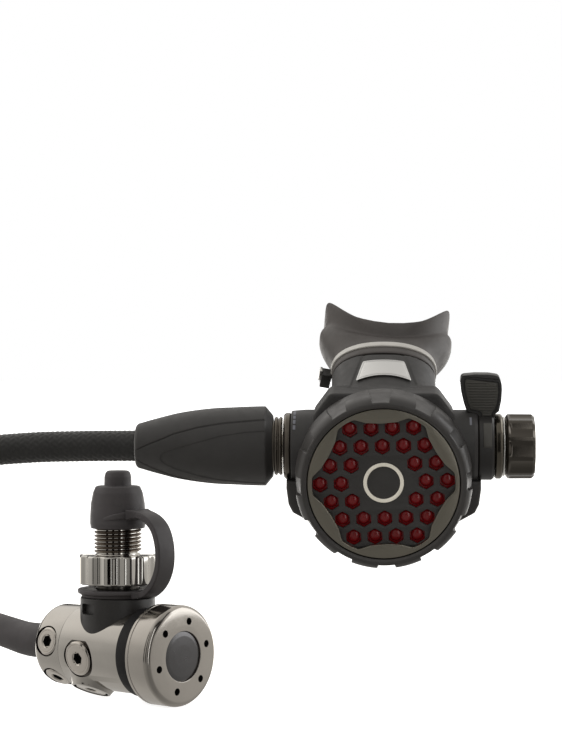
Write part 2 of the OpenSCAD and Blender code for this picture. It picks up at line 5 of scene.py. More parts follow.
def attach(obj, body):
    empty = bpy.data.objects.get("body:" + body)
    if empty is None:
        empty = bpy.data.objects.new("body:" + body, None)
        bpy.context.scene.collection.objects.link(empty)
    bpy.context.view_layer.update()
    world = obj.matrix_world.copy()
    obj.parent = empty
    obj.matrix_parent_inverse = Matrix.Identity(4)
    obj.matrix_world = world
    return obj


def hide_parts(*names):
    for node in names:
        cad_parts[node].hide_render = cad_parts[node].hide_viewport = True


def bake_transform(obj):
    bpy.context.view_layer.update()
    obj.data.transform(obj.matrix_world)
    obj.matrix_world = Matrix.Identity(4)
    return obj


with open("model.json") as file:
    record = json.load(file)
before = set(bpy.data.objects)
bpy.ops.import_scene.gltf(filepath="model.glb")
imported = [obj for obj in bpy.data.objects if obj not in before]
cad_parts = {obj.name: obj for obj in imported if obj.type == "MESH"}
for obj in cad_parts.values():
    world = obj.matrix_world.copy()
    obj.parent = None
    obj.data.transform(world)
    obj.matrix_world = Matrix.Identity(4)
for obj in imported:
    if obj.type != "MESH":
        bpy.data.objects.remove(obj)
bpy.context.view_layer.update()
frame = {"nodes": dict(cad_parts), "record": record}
NODES = frame["nodes"]
COL = bpy.context.scene.collection
RAD = math.radians

# ---------------------------------------------------------------- frames (metres outside, mm inside)
OFF = (-59.0, 32.2)
MM = Matrix.Scale(0.001, 4)
FIRST = Matrix.Translation((OFF[0] / 1000, OFF[1] / 1000, 0.02375)) @ Matrix.Rotation(RAD(-38), 4, "Z") @ MM
SECOND = Matrix.Translation(((OFF[0] + 127) / 1000, (OFF[1] - 90.5) / 1000, 0.124)) @ Matrix.Rotation(RAD(9.5), 4, "X") @ MM
COVER = SECOND @ Matrix.Translation((0, 0, -10.5)) @ Matrix.Rotation(RAD(90), 4, "X") @ Matrix.Rotation(RAD(2), 4, "Z")
MOUTH = SECOND @ Matrix.Translation((0, 0, 8)) @ Matrix.Rotation(RAD(-66), 4, "X")
XAX = Matrix.Rotation(RAD(90), 4, "Y")          # lathe axis Z -> X
FIRSTX = FIRST @ XAX
SECONDX = SECOND @ XAX


# ---------------------------------------------------------------- camera
def make_camera():
    cam = bpy.data.cameras.new("camera")
    ob = bpy.data.objects.new("camera", cam)
    COL.objects.link(ob)
    ob.location = ((OFF[0] + 127.0) / 1000, (OFF[1] - 1053.1) / 1000, 0.1549)
    ob.rotation_euler = (RAD(90), 0, RAD(2.657))
    cam.sensor_fit = "AUTO"
    cam.sensor_width = 36
    cam.lens = 2211 * 36 / 750
    cam.clip_start = 0.05
    cam.clip_end = 50
    bpy.context.scene.camera = ob
    return ob


CAM = make_camera()


# ---------------------------------------------------------------- mesh helpers
def new_obj(name, verts, faces, M, mat=None, smooth=35, flip=False):
    me = bpy.data.meshes.new(name)
    me.from_pydata([M @ Vector(v) for v in verts], [], faces)
    me.validate()
    bm = bmesh.new()
    bm.from_mesh(me)
    bmesh.ops.recalc_face_normals(bm, faces=bm.faces)
    bm.to_mesh(me)
    bm.free()
    me.shade_smooth()
    if smooth is not None:
        me.set_sharp_from_angle(angle=RAD(smooth))
    ob = bpy.data.objects.new(name, me)
    COL.objects.link(ob)
    if mat:
        ob.data.materials.append(mat)
    return ob


def fillet(pts, closed=True, seg=5):
    """pts: (a, b) or (a, b, radius). Returns the outline with its corners rounded."""
    out = []
    n = len(pts)
    for i, p in enumerate(pts):
        r = p[2] if len(p) > 2 else 0
        if r <= 0 or (not closed and i in (0, n - 1)):
            out.append((p[0], p[1]))
            continue
        a = Vector(pts[(i - 1) % n][:2])
        b = Vector(p[:2])
        c = Vector(pts[(i + 1) % n][:2])
        u, v = (a - b), (c - b)
        lu, lv = u.length, v.length
        if lu < 1e-6 or lv < 1e-6:
            out.append((p[0], p[1]))
            continue
        u.normalize()
        v.normalize()
        ang = u.angle(v)
        if ang > math.pi - 0.02:
            out.append((p[0], p[1]))
            continue
        d = min(r / math.tan(ang / 2), lu * 0.49, lv * 0.49)
        rr = d * math.tan(ang / 2)
        p0, p1 = b + u * d, b + v * d
        cen = b + (u + v).normalized() * (rr / math.sin(ang / 2))
        a0, a1 = p0 - cen, p1 - cen
        k = max(2, seg)
        tot = a0.angle(a1)
        sgn = 1 if a0.x * a1.y - a0.y * a1.x > 0 else -1
        for j in range(k + 1):
            t = sgn * tot * j / k
            q = Vector((a0.x * math.cos(t) - a0.y * math.sin(t), a0.x * math.sin(t) + a0.y * math.cos(t)))
            out.append((cen.x + q.x, cen.y + q.y))
    return out


def lathe(name, prof, M, mat=None, n=128, closed=True, smooth=35, seg=5, mod=None):
    """prof: (r, z[, fillet]). mod(angle, r, z) -> (r, z) shapes flutes and notches."""
    p = fillet(prof, closed, seg)
    verts, faces = [], []
    m = len(p)
    angs = n if isinstance(n, list) else [2 * math.pi * i / n for i in range(n)]
    na = len(angs)
    pole = {}
    idx = []
    for j, (r, z) in enumerate(p):
        if r < 1e-5:
            verts.append((0, 0, z))
            idx.append([len(verts) - 1] * na)
        else:
            row = []
            for a in angs:
                rr, zz = mod(a, r, z) if mod else (r, z)
                verts.append((rr * math.cos(a), rr * math.sin(a), zz))
                row.append(len(verts) - 1)
            idx.append(row)
    for j in range(m if closed else m - 1):
        A, B = idx[j], idx[(j + 1) % m]
        for i in range(na):
            k = (i + 1) % na
            f = [A[i], A[k], B[k], B[i]]
            g = []
            for x in f:
                if x not in g:
                    g.append(x)
            if len(g) >= 3:
                faces.append(g)
    return new_obj(name, verts, faces, M, mat, smooth)


def loft(name, rings, M, mat=None, smooth=35, cap=(True, True)):
    """rings: lists of 3-D points of equal count."""
    n = len(rings[0])
    verts = [q for r in rings for q in r]
    faces = []
    for j in range(len(rings) - 1):
        for i in range(n):
            k = (i + 1) % n
            faces.append([j * n + i, j * n + k, (j + 1) * n + k, (j + 1) * n + i])
    if cap[0]:
        faces.append(list(range(n))[::-1])
    if cap[1]:
        faces.append([(len(rings) - 1) * n + i for i in range(n)])
    return new_obj(name, verts, faces, M, mat, smooth)


def flat_shape(name, outlines, z0, z1, bevel, M, mat=None, res=3, smooth=40):
    """Extruded flat shape with holes and rounded edges, through a filled 2-D curve. outlines: lists of (x, y)."""
    cu = bpy.data.curves.new(name, "CURVE")
    cu.dimensions = "2D"
    cu.fill_mode = "BOTH"
    cu.extrude = max(0.0, (z1 - z0) / 2 - bevel)
    cu.bevel_depth = bevel
    cu.bevel_resolution = res
    cu.offset = -bevel
    for o in outlines:
        sp = cu.splines.new("POLY")
        sp.points.add(len(o) - 1)
        for p, q in zip(sp.points, o):
            p.co = (q[0], q[1], 0, 1)
        sp.use_cyclic_u = True
    tmp = bpy.data.objects.new(name + ".c", cu)
    COL.objects.link(tmp)
    bpy.context.view_layer.update()
    dg = bpy.context.evaluated_depsgraph_get()
    me = bpy.data.meshes.new_from_object(tmp.evaluated_get(dg))
    bpy.data.objects.remove(tmp)
    bpy.data.curves.remove(cu)
    bm = bmesh.new()
    bm.from_mesh(me)
    bmesh.ops.remove_doubles(bm, verts=bm.verts, dist=1e-4)
    bmesh.ops.recalc_face_normals(bm, faces=bm.faces)
    bm.to_mesh(me)
    bm.free()
    me.transform(M @ Matrix.Translation((0, 0, (z0 + z1) / 2)))
    me.materials.clear()
    me.shade_smooth()
    me.set_sharp_from_angle(angle=RAD(smooth))
    ob = bpy.data.objects.new(name, me)
    COL.objects.link(ob)
    if mat:
        ob.data.materials.append(mat)
    return ob


def boolean(ob, cutters, op="DIFFERENCE", mat=None, smooth=35):
    for c in cutters:
        md = ob.modifiers.new("cut", "BOOLEAN")
        md.operation = op
        md.solver = "EXACT"
        md.object = c
        if mat:
            c.data.materials.clear()
            c.data.materials.append(mat)
            md.material_mode = "TRANSFER"
    apply_mods(ob, smooth)
    for c in cutters:
        bpy.data.objects.remove(c)
    return ob


def apply_mods(ob, smooth=35):
    bpy.context.view_layer.update()
    dg = bpy.context.evaluated_depsgraph_get()
    me = bpy.data.meshes.new_from_object(ob.evaluated_get(dg))
    ob.modifiers.clear()
    old = ob.data
    ob.data = me
    bpy.data.meshes.remove(old)
    me.shade_smooth()
    if smooth is not None:
        me.set_sharp_from_angle(angle=RAD(smooth))
    return ob


def bevel_mod(ob, width, seg=3, angle=30, smooth=40):
    md = ob.modifiers.new("bevel", "BEVEL")
    md.width = width / 1000
    md.segments = seg
    md.limit_method = "ANGLE"
    md.angle_limit = RAD(angle)
    md.harden_normals = False
    apply_mods(ob, smooth)
    return ob


def join(name, obs):
    """Joins meshes into one object, keeping materials."""
    base = obs[0]
    with bpy.context.temp_override(active_object=base, selected_editable_objects=obs, object=base, selected_objects=obs):
        bpy.ops.object.join()
    base.name = name
    base.data.name = name
    return base


def oval(w, h, n=96, e=2.25):
    out = []
    for i in range(n):
        a = 2 * math.pi * i / n
        c, s = math.cos(a), math.sin(a)
        out.append((w / 2 * math.copysign(abs(c) ** (2 / e), c), h / 2 * math.copysign(abs(s) ** (2 / e), s)))
    return out


def catmull(pts, per=8):
    P = [Vector(p) for p in pts]
    P = [P[0] * 2 - P[1]] + P + [P[-1] * 2 - P[-2]]
    out = []
    for i in range(1, len(P) - 2):
        a, b, c, d = P[i - 1:i + 3]
        for k in range(per):
            t = k / per
            out.append(0.5 * ((2 * b) + (c - a) * t + (2 * a - 5 * b + 4 * c - d) * t * t + (3 * b - a - 3 * c + d) * t ** 3))
    out.append(P[-2].copy())
    return out


def place(ob, body, node=None):
    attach(ob, body)
    if node:
        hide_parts(*([node] if isinstance(node, str) else node))
    return ob


# ---------------------------------------------------------------- materials
class Mat:
    def __init__(self, name, color=(0.5, 0.5, 0.5), rough=0.5, metal=0.0, spec=0.5, coat=0.0, coat_rough=0.1, sheen=0.0, sss=0.0):
        self.m = bpy.data.materials.new(name)
        self.m.use_nodes = True
        self.t = self.m.node_tree
        self.b = self.t.nodes["Principled BSDF"]
        b = self.b.inputs
        b["Base Color"].default_value = (*color, 1)
        b["Roughness"].default_value = rough
        b["Metallic"].default_value = metal
        b["Specular IOR Level"].default_value = spec
        b["Coat Weight"].default_value = coat
        b["Coat Roughness"].default_value = coat_rough
        b["Sheen Weight"].default_value = sheen
        b["Subsurface Weight"].default_value = sss
        self.color = color
        self.rough = rough
        self.h = None

    def n(self, kind, **kw):
        nd = self.t.nodes.new(kind)
        for k, v in kw.items():
            if k in nd.inputs:
                nd.inputs[k].default_value = v
            else:
                setattr(nd, k, v)
        return nd

    def link(self, a, b):
        self.t.links.new(a, b)

    def coord(self):
        if not hasattr(self, "_c"):
            self._c = self.n("ShaderNodeTexCoord").outputs["Object"]
        return self._c

    def noise(self, scale, detail=4, rough=0.5, dist=0.0, stretch=None):
        v = self.coord()
        if stretch:
            mp = self.n("ShaderNodeMapping")
            mp.inputs["Scale"].default_value = stretch
            self.link(v, mp.inputs["Vector"])
            v = mp.outputs["Vector"]
        nz = self.n("ShaderNodeTexNoise")
        nz.inputs["Scale"].default_value = scale
        nz.inputs["Detail"].default_value = detail
        nz.inputs["Roughness"].default_value = rough
        nz.inputs["Distortion"].default_value = dist
        self.link(v, nz.inputs["Vector"])
        return nz.outputs["Fac"]

    def ramp(self, src, stops):
        r = self.n("ShaderNodeValToRGB")
        e = r.color_ramp.elements
        while len(e) < len(stops):
            e.new(0.5)
        for el, (p, c) in zip(e, stops):
            el.position = p
            el.color = (*c, 1) if not isinstance(c, float) else (c, c, c, 1)
        self.link(src, r.inputs["Fac"])
        return r.outputs["Color"]

    def math(self, op, a, b=None, clamp=False):
        m = self.n("ShaderNodeMath")
        m.operation = op
        m.use_clamp = clamp
        for i, x in enumerate((a, b)):
            if x is None:
                continue
            if isinstance(x, (int, float)):
                m.inputs[i].default_value = x
            else:
                self.link(x, m.inputs[i])
        return m.outputs[0]

    def rough_var(self, src, lo, hi):
        mr = self.n("ShaderNodeMapRange")
        mr.inputs["To Min"].default_value = lo
        mr.inputs["To Max"].default_value = hi
        mr.inputs["From Min"].default_value = 0.3
        mr.inputs["From Max"].default_value = 0.7
        self.link(src, mr.inputs["Value"])
        self.link(mr.outputs["Result"], self.b.inputs["Roughness"])
        return self

    def color_var(self, src, c0, c1, p0=0.3, p1=0.7):
        self.link(self.ramp(src, [(p0, c0), (p1, c1)]), self.b.inputs["Base Color"])
        return self

    def bump(self, src, strength, dist):
        bp = self.n("ShaderNodeBump")
        bp.inputs["Strength"].default_value = strength
        bp.inputs["Distance"].default_value = dist
        self.link(src, bp.inputs["Height"])
        if self.h is not None:
            self.link(self.h, bp.inputs["Normal"])
        self.h = bp.outputs["Normal"]
        self.link(self.h, self.b.inputs["Normal"])
        return self


def metal(name, c, rough, var=0.04, scale=60, grain=0.05):
    m = Mat(name, c, rough, 1.0)
    lo = tuple(x * 0.94 for x in c)
    m.color_var(m.noise(scale, 5, 0.6), lo, c)
    m.rough_var(m.noise(scale * 3, 6, 0.65), max(0.02, rough - var), rough + var)
    if grain:
        m.bump(m.noise(scale * 20, 3, 0.6), grain, 0.00002)
    return m


def plastic(name, c, rough, grain=1800, depth=0.00005, strength=0.25, var=0.06, coat=0.0, spec=0.5, sheen=0.0):
    m = Mat(name, c, rough, 0.0, spec, coat=coat, sheen=sheen)
    lo = tuple(x * 0.86 for x in c)
    hi = tuple(min(1, x * 1.1) for x in c)
    m.color_var(m.noise(90, 5, 0.6), lo, hi)
    m.rough_var(m.noise(240, 5, 0.6), rough - var, rough + var)
    m.bump(m.noise(grain, 2, 0.5), strength, depth)
    return m


MT = {}
MT["gunmetal"] = metal("gunmetal", (0.49, 0.466, 0.43), 0.13, 0.03)
MT["gunmetal_cap"] = metal("gunmetal_cap", (0.46, 0.432, 0.395), 0.15, 0.03)
MT["gunmetal_plug"] = metal("gunmetal_plug", (0.60, 0.56, 0.51), 0.17, 0.04)
MT["brass_plain"] = metal("brass_plain", (0.72, 0.60, 0.38), 0.25)
MT["steel_plain"] = metal("steel_plain", (0.68, 0.68, 0.68), 0.22)
MT["rubber_black"] = plastic("rubber_black", (0.013, 0.013, 0.0135), 0.55, spec=0.2)
MT["rubber_grey"] = plastic("rubber_grey", (0.052, 0.048, 0.050), 0.48, grain=2600, depth=0.00002, spec=0.32)
MT["silicone_dark"] = plastic("silicone_dark", (0.066, 0.060, 0.057), 0.5, grain=900, depth=0.00003, strength=0.15)
MT["silicone_clear"] = plastic("silicone_clear", (0.6, 0.58, 0.54), 0.4)
MT["braid_black"] = plastic("braid_black", (0.018, 0.018, 0.0175), 0.42)
MT["plastic_black"] = plastic("plastic_black", (0.020, 0.019, 0.0185), 0.42)
MT["plastic_soft"] = plastic("plastic_soft", (0.030, 0.029, 0.0285), 0.5, grain=2200, depth=0.00004)
MT["plastic_red"] = plastic("plastic_red", (0.24, 0.008, 0.011), 0.2, depth=0.00001)
MT["plastic_white"] = plastic("plastic_white", (0.50, 0.49, 0.465), 0.35, depth=0.00001)
MT["bronze_satin"] = metal("bronze_satin", (0.30, 0.28, 0.232), 0.33, 0.05, 60, grain=0.35)
MT["dark_nickel"] = metal("dark_nickel", (0.15, 0.134, 0.113), 0.2)
MT["bright_ring"] = metal("bright_ring", (0.75, 0.74, 0.71), 0.15)
MT["inlay_ivory"] = plastic("inlay_ivory", (0.86, 0.83, 0.74), 0.3, depth=0.00001, coat=0.3)
MT["plate_silver"] = metal("plate_silver", (0.70, 0.70, 0.69), 0.3)
MT["knob_dark"] = metal("knob_dark", (0.105, 0.095, 0.082), 0.15, 0.02, 60, grain=0.0)
MT["ring_dark"] = metal("ring_dark", (0.15, 0.135, 0.11), 0.16, 0.02)
MT["lever_grey"] = plastic("lever_grey", (0.058, 0.056, 0.050), 0.5, depth=0.00002)

MT["disc_dark"] = metal("disc_dark", (0.12, 0.118, 0.12), 0.24)
MT["chrome_wheel"] = metal("chrome_wheel", (0.60, 0.58, 0.54), 0.07, 0.02)
MT["thread_dark"] = metal("thread_dark", (0.20, 0.17, 0.14), 0.2)

MT["mark_grey"] = plastic("mark_grey", (0.15, 0.155, 0.18), 0.45, depth=0.00001)
MT["plastic_ring"] = plastic("plastic_ring", (0.038, 0.036, 0.035), 0.42, grain=2200, depth=0.00004)
MT["plastic_comb"] = plastic("plastic_comb", (0.032, 0.0305, 0.0295), 0.5, grain=2200, depth=0.00003)
MT["plastic_ear"] = plastic("plastic_ear", (0.034, 0.032, 0.031), 0.46, grain=2200, depth=0.00004)
# painted shade: a near-black that stands in for the shadow inside holes and hex sockets
MT["painted_shade_black"] = plastic("painted_shade_black", (0.004, 0.004, 0.004), 0.6, depth=0.00001)
# painted shade: a darkened copy of the gunmetal that stands in for the shadow on recess walls
MT["painted_shade_metal"] = metal("painted_shade_metal", (0.10, 0.094, 0.085), 0.22)
MT = {k: v.m for k, v in MT.items()}
SLOT = {s["node"]: s["material_slot"] for s in frame["record"]["subparts"]}
for name, ob in NODES.items():
    ob.data.materials.clear()
    ob.data.materials.append(MT[SLOT[name]])
    ob.data.shade_smooth()
    ob.data.set_sharp_from_angle(angle=RAD(30))

# painted shade: the bolt inside the wheel's bore gets the darkened metal, as if in shadow
NODES["din_bolt"].data.materials[0] = MT["painted_shade_metal"]

# ---------------------------------------------------------------- hose, the free cord
ROUTE = [(-66, 52, 27.3), (-76, 60, 29), (-90, 70, 29), (-106, 80, 24), (-124, 89, 16), (-144, 96, 9), (-166, 100, 7),
         (-188, 98, 7), (-209, 91, 7), (-227, 78, 7), (-240, 60, 7), (-247, 39, 7), (-250, 17, 7), (-248, -6, 7),
         (-241, -28, 7), (-229, -48, 7), (-213, -65, 8), (-195, -78, 12), (-177, -86, 20), (-160, -90, 32),
         (-144, -90.5, 48), (-128, -90.5, 66), (-112, -90.5, 85), (-95, -90.5, 102), (-75, -90.5, 114),
         (-53, -90.5, 120.5), (-29, -90.5, 123), (-4, -90.5, 123.8), (23, -90.5, 124)]
HOSE_R = 6.75


def hose_path():
    p = [((x + OFF[0]) / 1000, (y + OFF[1]) / 1000, z / 1000) for x, y, z in ROUTE]
    return catmull(p, 8)


def make_hose():
    """Woven cover over rubber: strands in two directions, each over two and under two."""
    path = hose_path()
    # even steps along the route
    step = 0.00046
    pts = [path[0]]
    left = step
    for a, b in zip(path, path[1:]):
        d = (b - a).length
        t = left
        while t < d:
            pts.append(a.lerp(b, t / d))
            t += step
        left = t - d
    pts.append(path[-1])
    # a light smoothing keeps the direction even
    n, m = 84, len(pts)
    strands, lu = 16, 0.0021
    verts, uvs = [], []
    up = Vector((0, 0, 1))
    t0 = (pts[6] - pts[0]).normalized()
    nrm = t0.cross(up).normalized()
    for i in range(m):
        t = (pts[min(i + 6, m - 1)] - pts[max(i - 6, 0)]).normalized()
        nrm = (nrm - t * nrm.dot(t)).normalized()
        bi = t.cross(nrm)
        u = i * step
        for k in range(n):
            v = k / n * strands
            p, q = u / lu + v, u / lu - v
            ip, iq = math.floor(p), math.floor(q)
            fp, fq = p - ip, q - iq
            hp = math.sqrt(max(0.0, math.sin(math.pi * fp)))
            hq = math.sqrt(max(0.0, math.sin(math.pi * fq)))
            ph = (ip + iq) % 4
            if ph < 2:
                along = (fq + ph) / 2
                h = hp * (0.55 + 0.45 * math.sin(math.pi * along))
            else:
                along = (fp + ph - 2) / 2
                h = hq * (0.55 + 0.45 * math.sin(math.pi * along))
            a = 2 * math.pi * k / n
            rad = (HOSE_R - 0.42 + 0.42 * h) / 1000
            verts.append(pts[i] + (nrm * math.cos(a) + bi * math.sin(a)) * rad)
            uvs.append((p, q))
    faces = []
    for i in range(m - 1):
        o = i * n
        for k in range(n):
            q = (k + 1) % n
            faces.append((o + k, o + n + k, o + n + q, o + q))
    faces.append([k for k in range(n)][::-1])
    faces.append([(m - 1) * n + k for k in range(n)])
    me = bpy.data.meshes.new("hose")
    me.from_pydata(verts, [], faces)
    me.materials.append(MT["braid_black"])
    me.shade_smooth()
    ob = bpy.data.objects.new("hose", me)
    COL.objects.link(ob)
    place(ob, "root", "lp_hose")
    return ob


HOSE = make_hose()
# the photographed metal shows no hose mirrored in it
HOSE.visible_glossy = False

# ---------------------------------------------------------------- first stage
def T3(x, y, z):
    return Matrix.Translation((x, y, z))


def RX(a):
    return Matrix.Rotation(RAD(a), 4, "X")


def RY(a):
    return Matrix.Rotation(RAD(a), 4, "Y")


def RZ(a):
    return Matrix.Rotation(RAD(a), 4, "Z")


def on_body(x, a):
    return FIRST @ T3(x, 0, 0) @ RX(a)


def rod(r, z0, z1, M, n=72, chamfer=0.0, flare=0.0):
    """Solid cutter: a rod whose mouth may open by a small chamfer at z1."""
    prof = [(0, z0), (r, z0), (r, z1)]
    if chamfer:
        prof = [(0, z0), (r, z0), (r, z1 - chamfer), (r + chamfer, z1), (r + chamfer, z1 + 3), (0, z1 + 3)]
    else:
        prof = [(0, z0), (r, z0), (r, z1), (0, z1)]
    return lathe("cutter", prof, M, n=n)


def tube_along(name, path, M, mat=None, n=72, smooth=35):
    """path: (centre, direction, radius) rings, open at both ends and closed by the last ring meeting the first."""
    rings = []
    for c, d, r in path:
        d = Vector(d).normalized()
        u = d.cross(Vector((0, 1, 0))).normalized()
        w = d.cross(u)
        rings.append([Vector(c) + (u * math.cos(2 * math.pi * k / n) + w * math.sin(2 * math.pi * k / n)) * r for k in range(n)])
    verts = [q for ring in rings for q in ring]
    faces = []
    m = len(rings)
    for j in range(m):
        b = (j + 1) % m
        for k in range(n):
            q = (k + 1) % n
            faces.append((j * n + k, j * n + q, b * n + q, b * n + k))
    return new_obj(name, verts, faces, M, mat, smooth)


LP_AT, LP_X = [80, 143, 270, 215], -29.7
HP_AT = [(-7.0, 99), (-9.4, 156)]
GM, GP, RG = MT["gunmetal"], MT["gunmetal_plug"], MT["rubber_grey"]


def socket_plug(r, t, deep, M):
    ob = lathe("plug", [(0, t - deep), (r * 0.62, t - deep), (r * 0.62, t - 2.4), (r, t - 2.4, 0.15), (r, t - 0.55, 0.12), (r - 0.7, t, 0.15),
                        (r - 1.35, t, 0.05), (r - 1.45, t - 0.14, 0.04), (r - 1.55, t, 0.05), (0, t)], M, GP, n=96, seg=3)
    hexa = lathe("hex", [(0, t - 3.4), (2.95, t - 3.4), (2.95, t + 1), (0, t + 1)], M @ RZ(12), n=6)
    cone = lathe("cone", [(0, t - 0.45), (2.9, t - 0.45), (3.45, t + 0.1), (3.45, t + 1), (0, t + 1)], M, n=48)
    # the hex socket's cut walls are painted near-black as shade
    boolean(ob, [hexa], mat=MT["painted_shade_black"], smooth=30)
    return boolean(ob, [cone], mat=GP, smooth=30)


def first_body_piece():
    ob = lathe("body.first", [(8.55, -20.5, 0.2), (20, -20.5, 0.4), (20, 21, 0.5), (19.2, 21.05, 0.1), (19.2, 27.9), (21, 27.9, 0.2), (21, 36.5, 0.3),
                              (17.6, 36.5), (17.6, 21.5), (5.2, 21.5), (5.2, -12), (3, -12), (3, -15), (8.55, -15)], FIRSTX, GM, n=256)
    x1, a1 = HP_AT[1]
    boss = lathe("boss", [(0, 5), (14.6, 5), (14.6, 14.6), (12.6, 16.9, 3), (10.9, 18.6, 2), (9.9, 20.4, 2), (9.5, 21.5, 0.5), (0, 21.6)], on_body(x1, a1), GM, n=120)
    boolean(ob, [boss], "UNION", mat=GM)
    cut = [rod(8.05, 4, 24, FIRST)]
    x0, a0 = HP_AT[0]
    cut += [rod(9.4, 18.2, 26, on_body(x0, a0), 96), rod(5.3, 9, 19, on_body(x0, a0))]
    cut += [rod(8.6, 19.2, 26, on_body(x1, a1), 96), rod(5.3, 9, 20, on_body(x1, a1))]
    # the port recesses' cut walls get the darkened metal as painted shade
    boolean(ob, cut, mat=MT["painted_shade_metal"])
    place(ob, "root", "first_body")
    ps = [socket_plug(8.2, 20.7, 9.5, on_body(x0, a0)), socket_plug(7.9, 21.3, 9.5, on_body(x1, a1))]
    place(join("plugs.high_pressure", ps), "root", "high_pressure_plugs")


def turret_piece():
    ob = lathe("turret", [(5.05, -40, 0.15), (19.5, -40, 5.4), (19.5, -20.75, 0.4), (8.6, -20.75), (8.6, -32.5), (5.05, -32.5)], FIRSTX, GM, n=256, seg=10)
    cut = []
    for a in LP_AT:
        cut += [rod(7.4, 16.6, 26, on_body(LP_X, a), 96), rod(4.4, 9, 17, on_body(LP_X, a))]
    # the port recesses' cut walls get the darkened metal as painted shade
    boolean(ob, cut, mat=MT["painted_shade_metal"])
    place(ob, "turret", "turret")
    place(join("plugs.low_pressure", [socket_plug(6.6, 19, 8.5, on_body(LP_X, a)) for a in LP_AT]), "turret", "low_pressure_plugs")


def cap_piece():
    ob = lathe("cap.end", [(21.1, 28, 0.1), (23.75, 28, 0.45), (23.75, 29.7, 0.12), (23.5, 29.85), (23.5, 30.2), (23.75, 30.35, 0.12),
                           (23.75, 42.3, 5.2), (18.0, 42.72, 20), (14.5, 42.92, 20), (11.8, 43, 0.25), (11.8, 40), (12.5, 40), (12.5, 36.6), (21.1, 36.6)], FIRSTX, MT["gunmetal_cap"], n=256, seg=10)
    cut = []
    for i in range(6):
        M = FIRST @ RX(60 * i - 14) @ T3(0, 0, 16.6) @ XAX
        cut.append(lathe("cutter", [(0, 40.0), (1.72, 40.0), (1.72, 46), (0, 46)], M, n=40))
    # the holes' cut walls are painted near-black as shade
    boolean(ob, cut, mat=MT["painted_shade_black"])
    place(ob, "root", "end_cap")
    d = lathe("cap.disc", [(0, 40.2), (11.7, 40.2), (11.7, 42.25, 0.25), (9.5, 42.62, 4), (5.5, 42.88, 4), (0, 43)], FIRSTX, MT["disc_dark"], n=128)
    place(d, "root", "cap_disc")
    b = lathe("band.rubber", [(20.05, 19.0), (20.95, 19.0, 0.75), (20.95, 27.75, 0.6), (19.3, 27.75), (19.3, 21.15), (20.05, 21.15)], FIRSTX, MT["rubber_black"], n=256, seg=6)
    place(b, "root", "band_ring")


def saddle_piece():
    PB = MT["plastic_black"]
    ob = lathe("saddle", [(0, 6), (17.9, 6), (17.9, 25.3, 0.7), (9, 25.3, 0.2), (9, 22), (0, 22)], FIRST, PB, n=200)
    cut = [rod(20.03, -34, 34, FIRSTX, 220)]
    cut.append(rod(9, 4, 30, FIRST))
    for a in (-100, 80):
        o = []
        w, h, r = 5.0, 2.45, 1.3
        for cx, cy, a0 in ((w - r, h - r, 0), (-w + r, h - r, 90), (-w + r, -h + r, 180), (w - r, -h + r, 270)):
            for k in range(7):
                t = RAD(a0 + 15 * k)
                o.append((cx + r * math.cos(t), cy + r * math.sin(t)))
        M = FIRST @ RZ(a) @ T3(0, 0, 20.2)
        ver = [Vector((15.2, p[0], p[1])) for p in o] + [Vector((19, p[0] * 1.02, p[1] * 1.04)) for p in o]
        n = len(o)
        fc = [tuple(range(n)), tuple(range(n, 2 * n))] + [(i, (i + 1) % n, n + (i + 1) % n, n + i) for i in range(n)]
        cut.append(new_obj("window", ver, fc, M))
    boolean(ob, cut, mat=PB)
    place(ob, "root", "saddle")


def strap_pieces():
    ring = lathe("strap.ring", [(11, 25.45, 0.2), (17.1, 25.45, 0.3), (17.6, 26.6, 0.8), (19.3, 27.4, 0.9), (19.1, 29.2, 0.7), (11, 29.2, 0.4)], FIRST, RG, n=200, seg=6)
    place(ring, "root", "strap_ring")
    mid = [(17.6, 27.2), (19.6, 27.5), (21.5, 28.2), (25, 30.8), (28.2, 34.8), (30.4, 40), (31.1, 46), (30.4, 52.4), (28, 58.4), (24, 62.4), (19, 64.7), (15.5, 65.2), (13.0, 65.0)]
    pts = catmull([(x, 0, z) for x, z in mid], 6)
    m = len(pts)
    rings = []
    for i, p in enumerate(pts):
        t = (pts[min(i + 1, m - 1)] - pts[max(i - 1, 0)]).normalized()
        nn = Vector((-t.z, 0, t.x))
        q = i / (m - 1)
        lo, hi = max(0.0, 1 - q / 0.12), max(0.0, (q - 0.86) / 0.14)
        w = 5.5 + 3.2 * lo ** 2 + 2.6 * hi ** 1.6
        h = 1.55 + 0.1 * lo + 0.9 * hi
        o = fillet([(-w, -h, 0.75), (w, -h, 0.75), (w, h, 0.75), (-w, h, 0.75)], True, 5)
        rings.append([p + Vector((0, a, 0)) + nn * b for a, b in o])
    band = loft("strap", rings, FIRST, RG, smooth=60)
    band.data.materials.clear()
    band.data.materials.append(RG)
    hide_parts("cap_strap")
    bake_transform(band)
    cap = lathe("dust.cap", [(11.65, 58, 0.3), (12.9, 58, 0.5), (13.3, 60.5, 2), (13.25, 64, 3), (12.85, 70, 5), (11.9, 75, 4), (10.5, 78.2, 1.6), (6.55, 78.25, 0.35),
                             (6.45, 82.5, 2.4), (5.6, 85.5, 2.2), (0, 85.5), (0, 74), (9, 74), (9, 70.5), (11.65, 70.5)], FIRST, RG, n=160, seg=8, smooth=50)
    # the strap's end wraps the front of the skirt as a raised lip
    rr = []
    n = 64
    for i in range(n + 1):
        a = RAD(-108 + 216 * i / n)
        f = math.cos((i / n - 0.5) * math.pi)
        zc = 60.6 + 4.5 * f ** 0.85
        w = 0.25 + 1.5 * f ** 0.7
        R = 12.2 + 1.35 * f ** 0.75
        o = fillet([(R - 2.0, zc - w, 0.1), (R + 0.75 * f + 0.05, zc - w, 0.55), (R + 0.75 * f + 0.05, zc + w, 0.9), (R - 2.0, zc + w, 0.1)], True, 4)
        rr.append([Vector((p[0] * math.cos(a), p[0] * math.sin(a), p[1])) for p in o])
    lip = loft("lip", rr, FIRST, RG, smooth=60)
    ob = join("dust.cap", [cap, lip])
    place(ob, "dust_cap", "dust_cap")


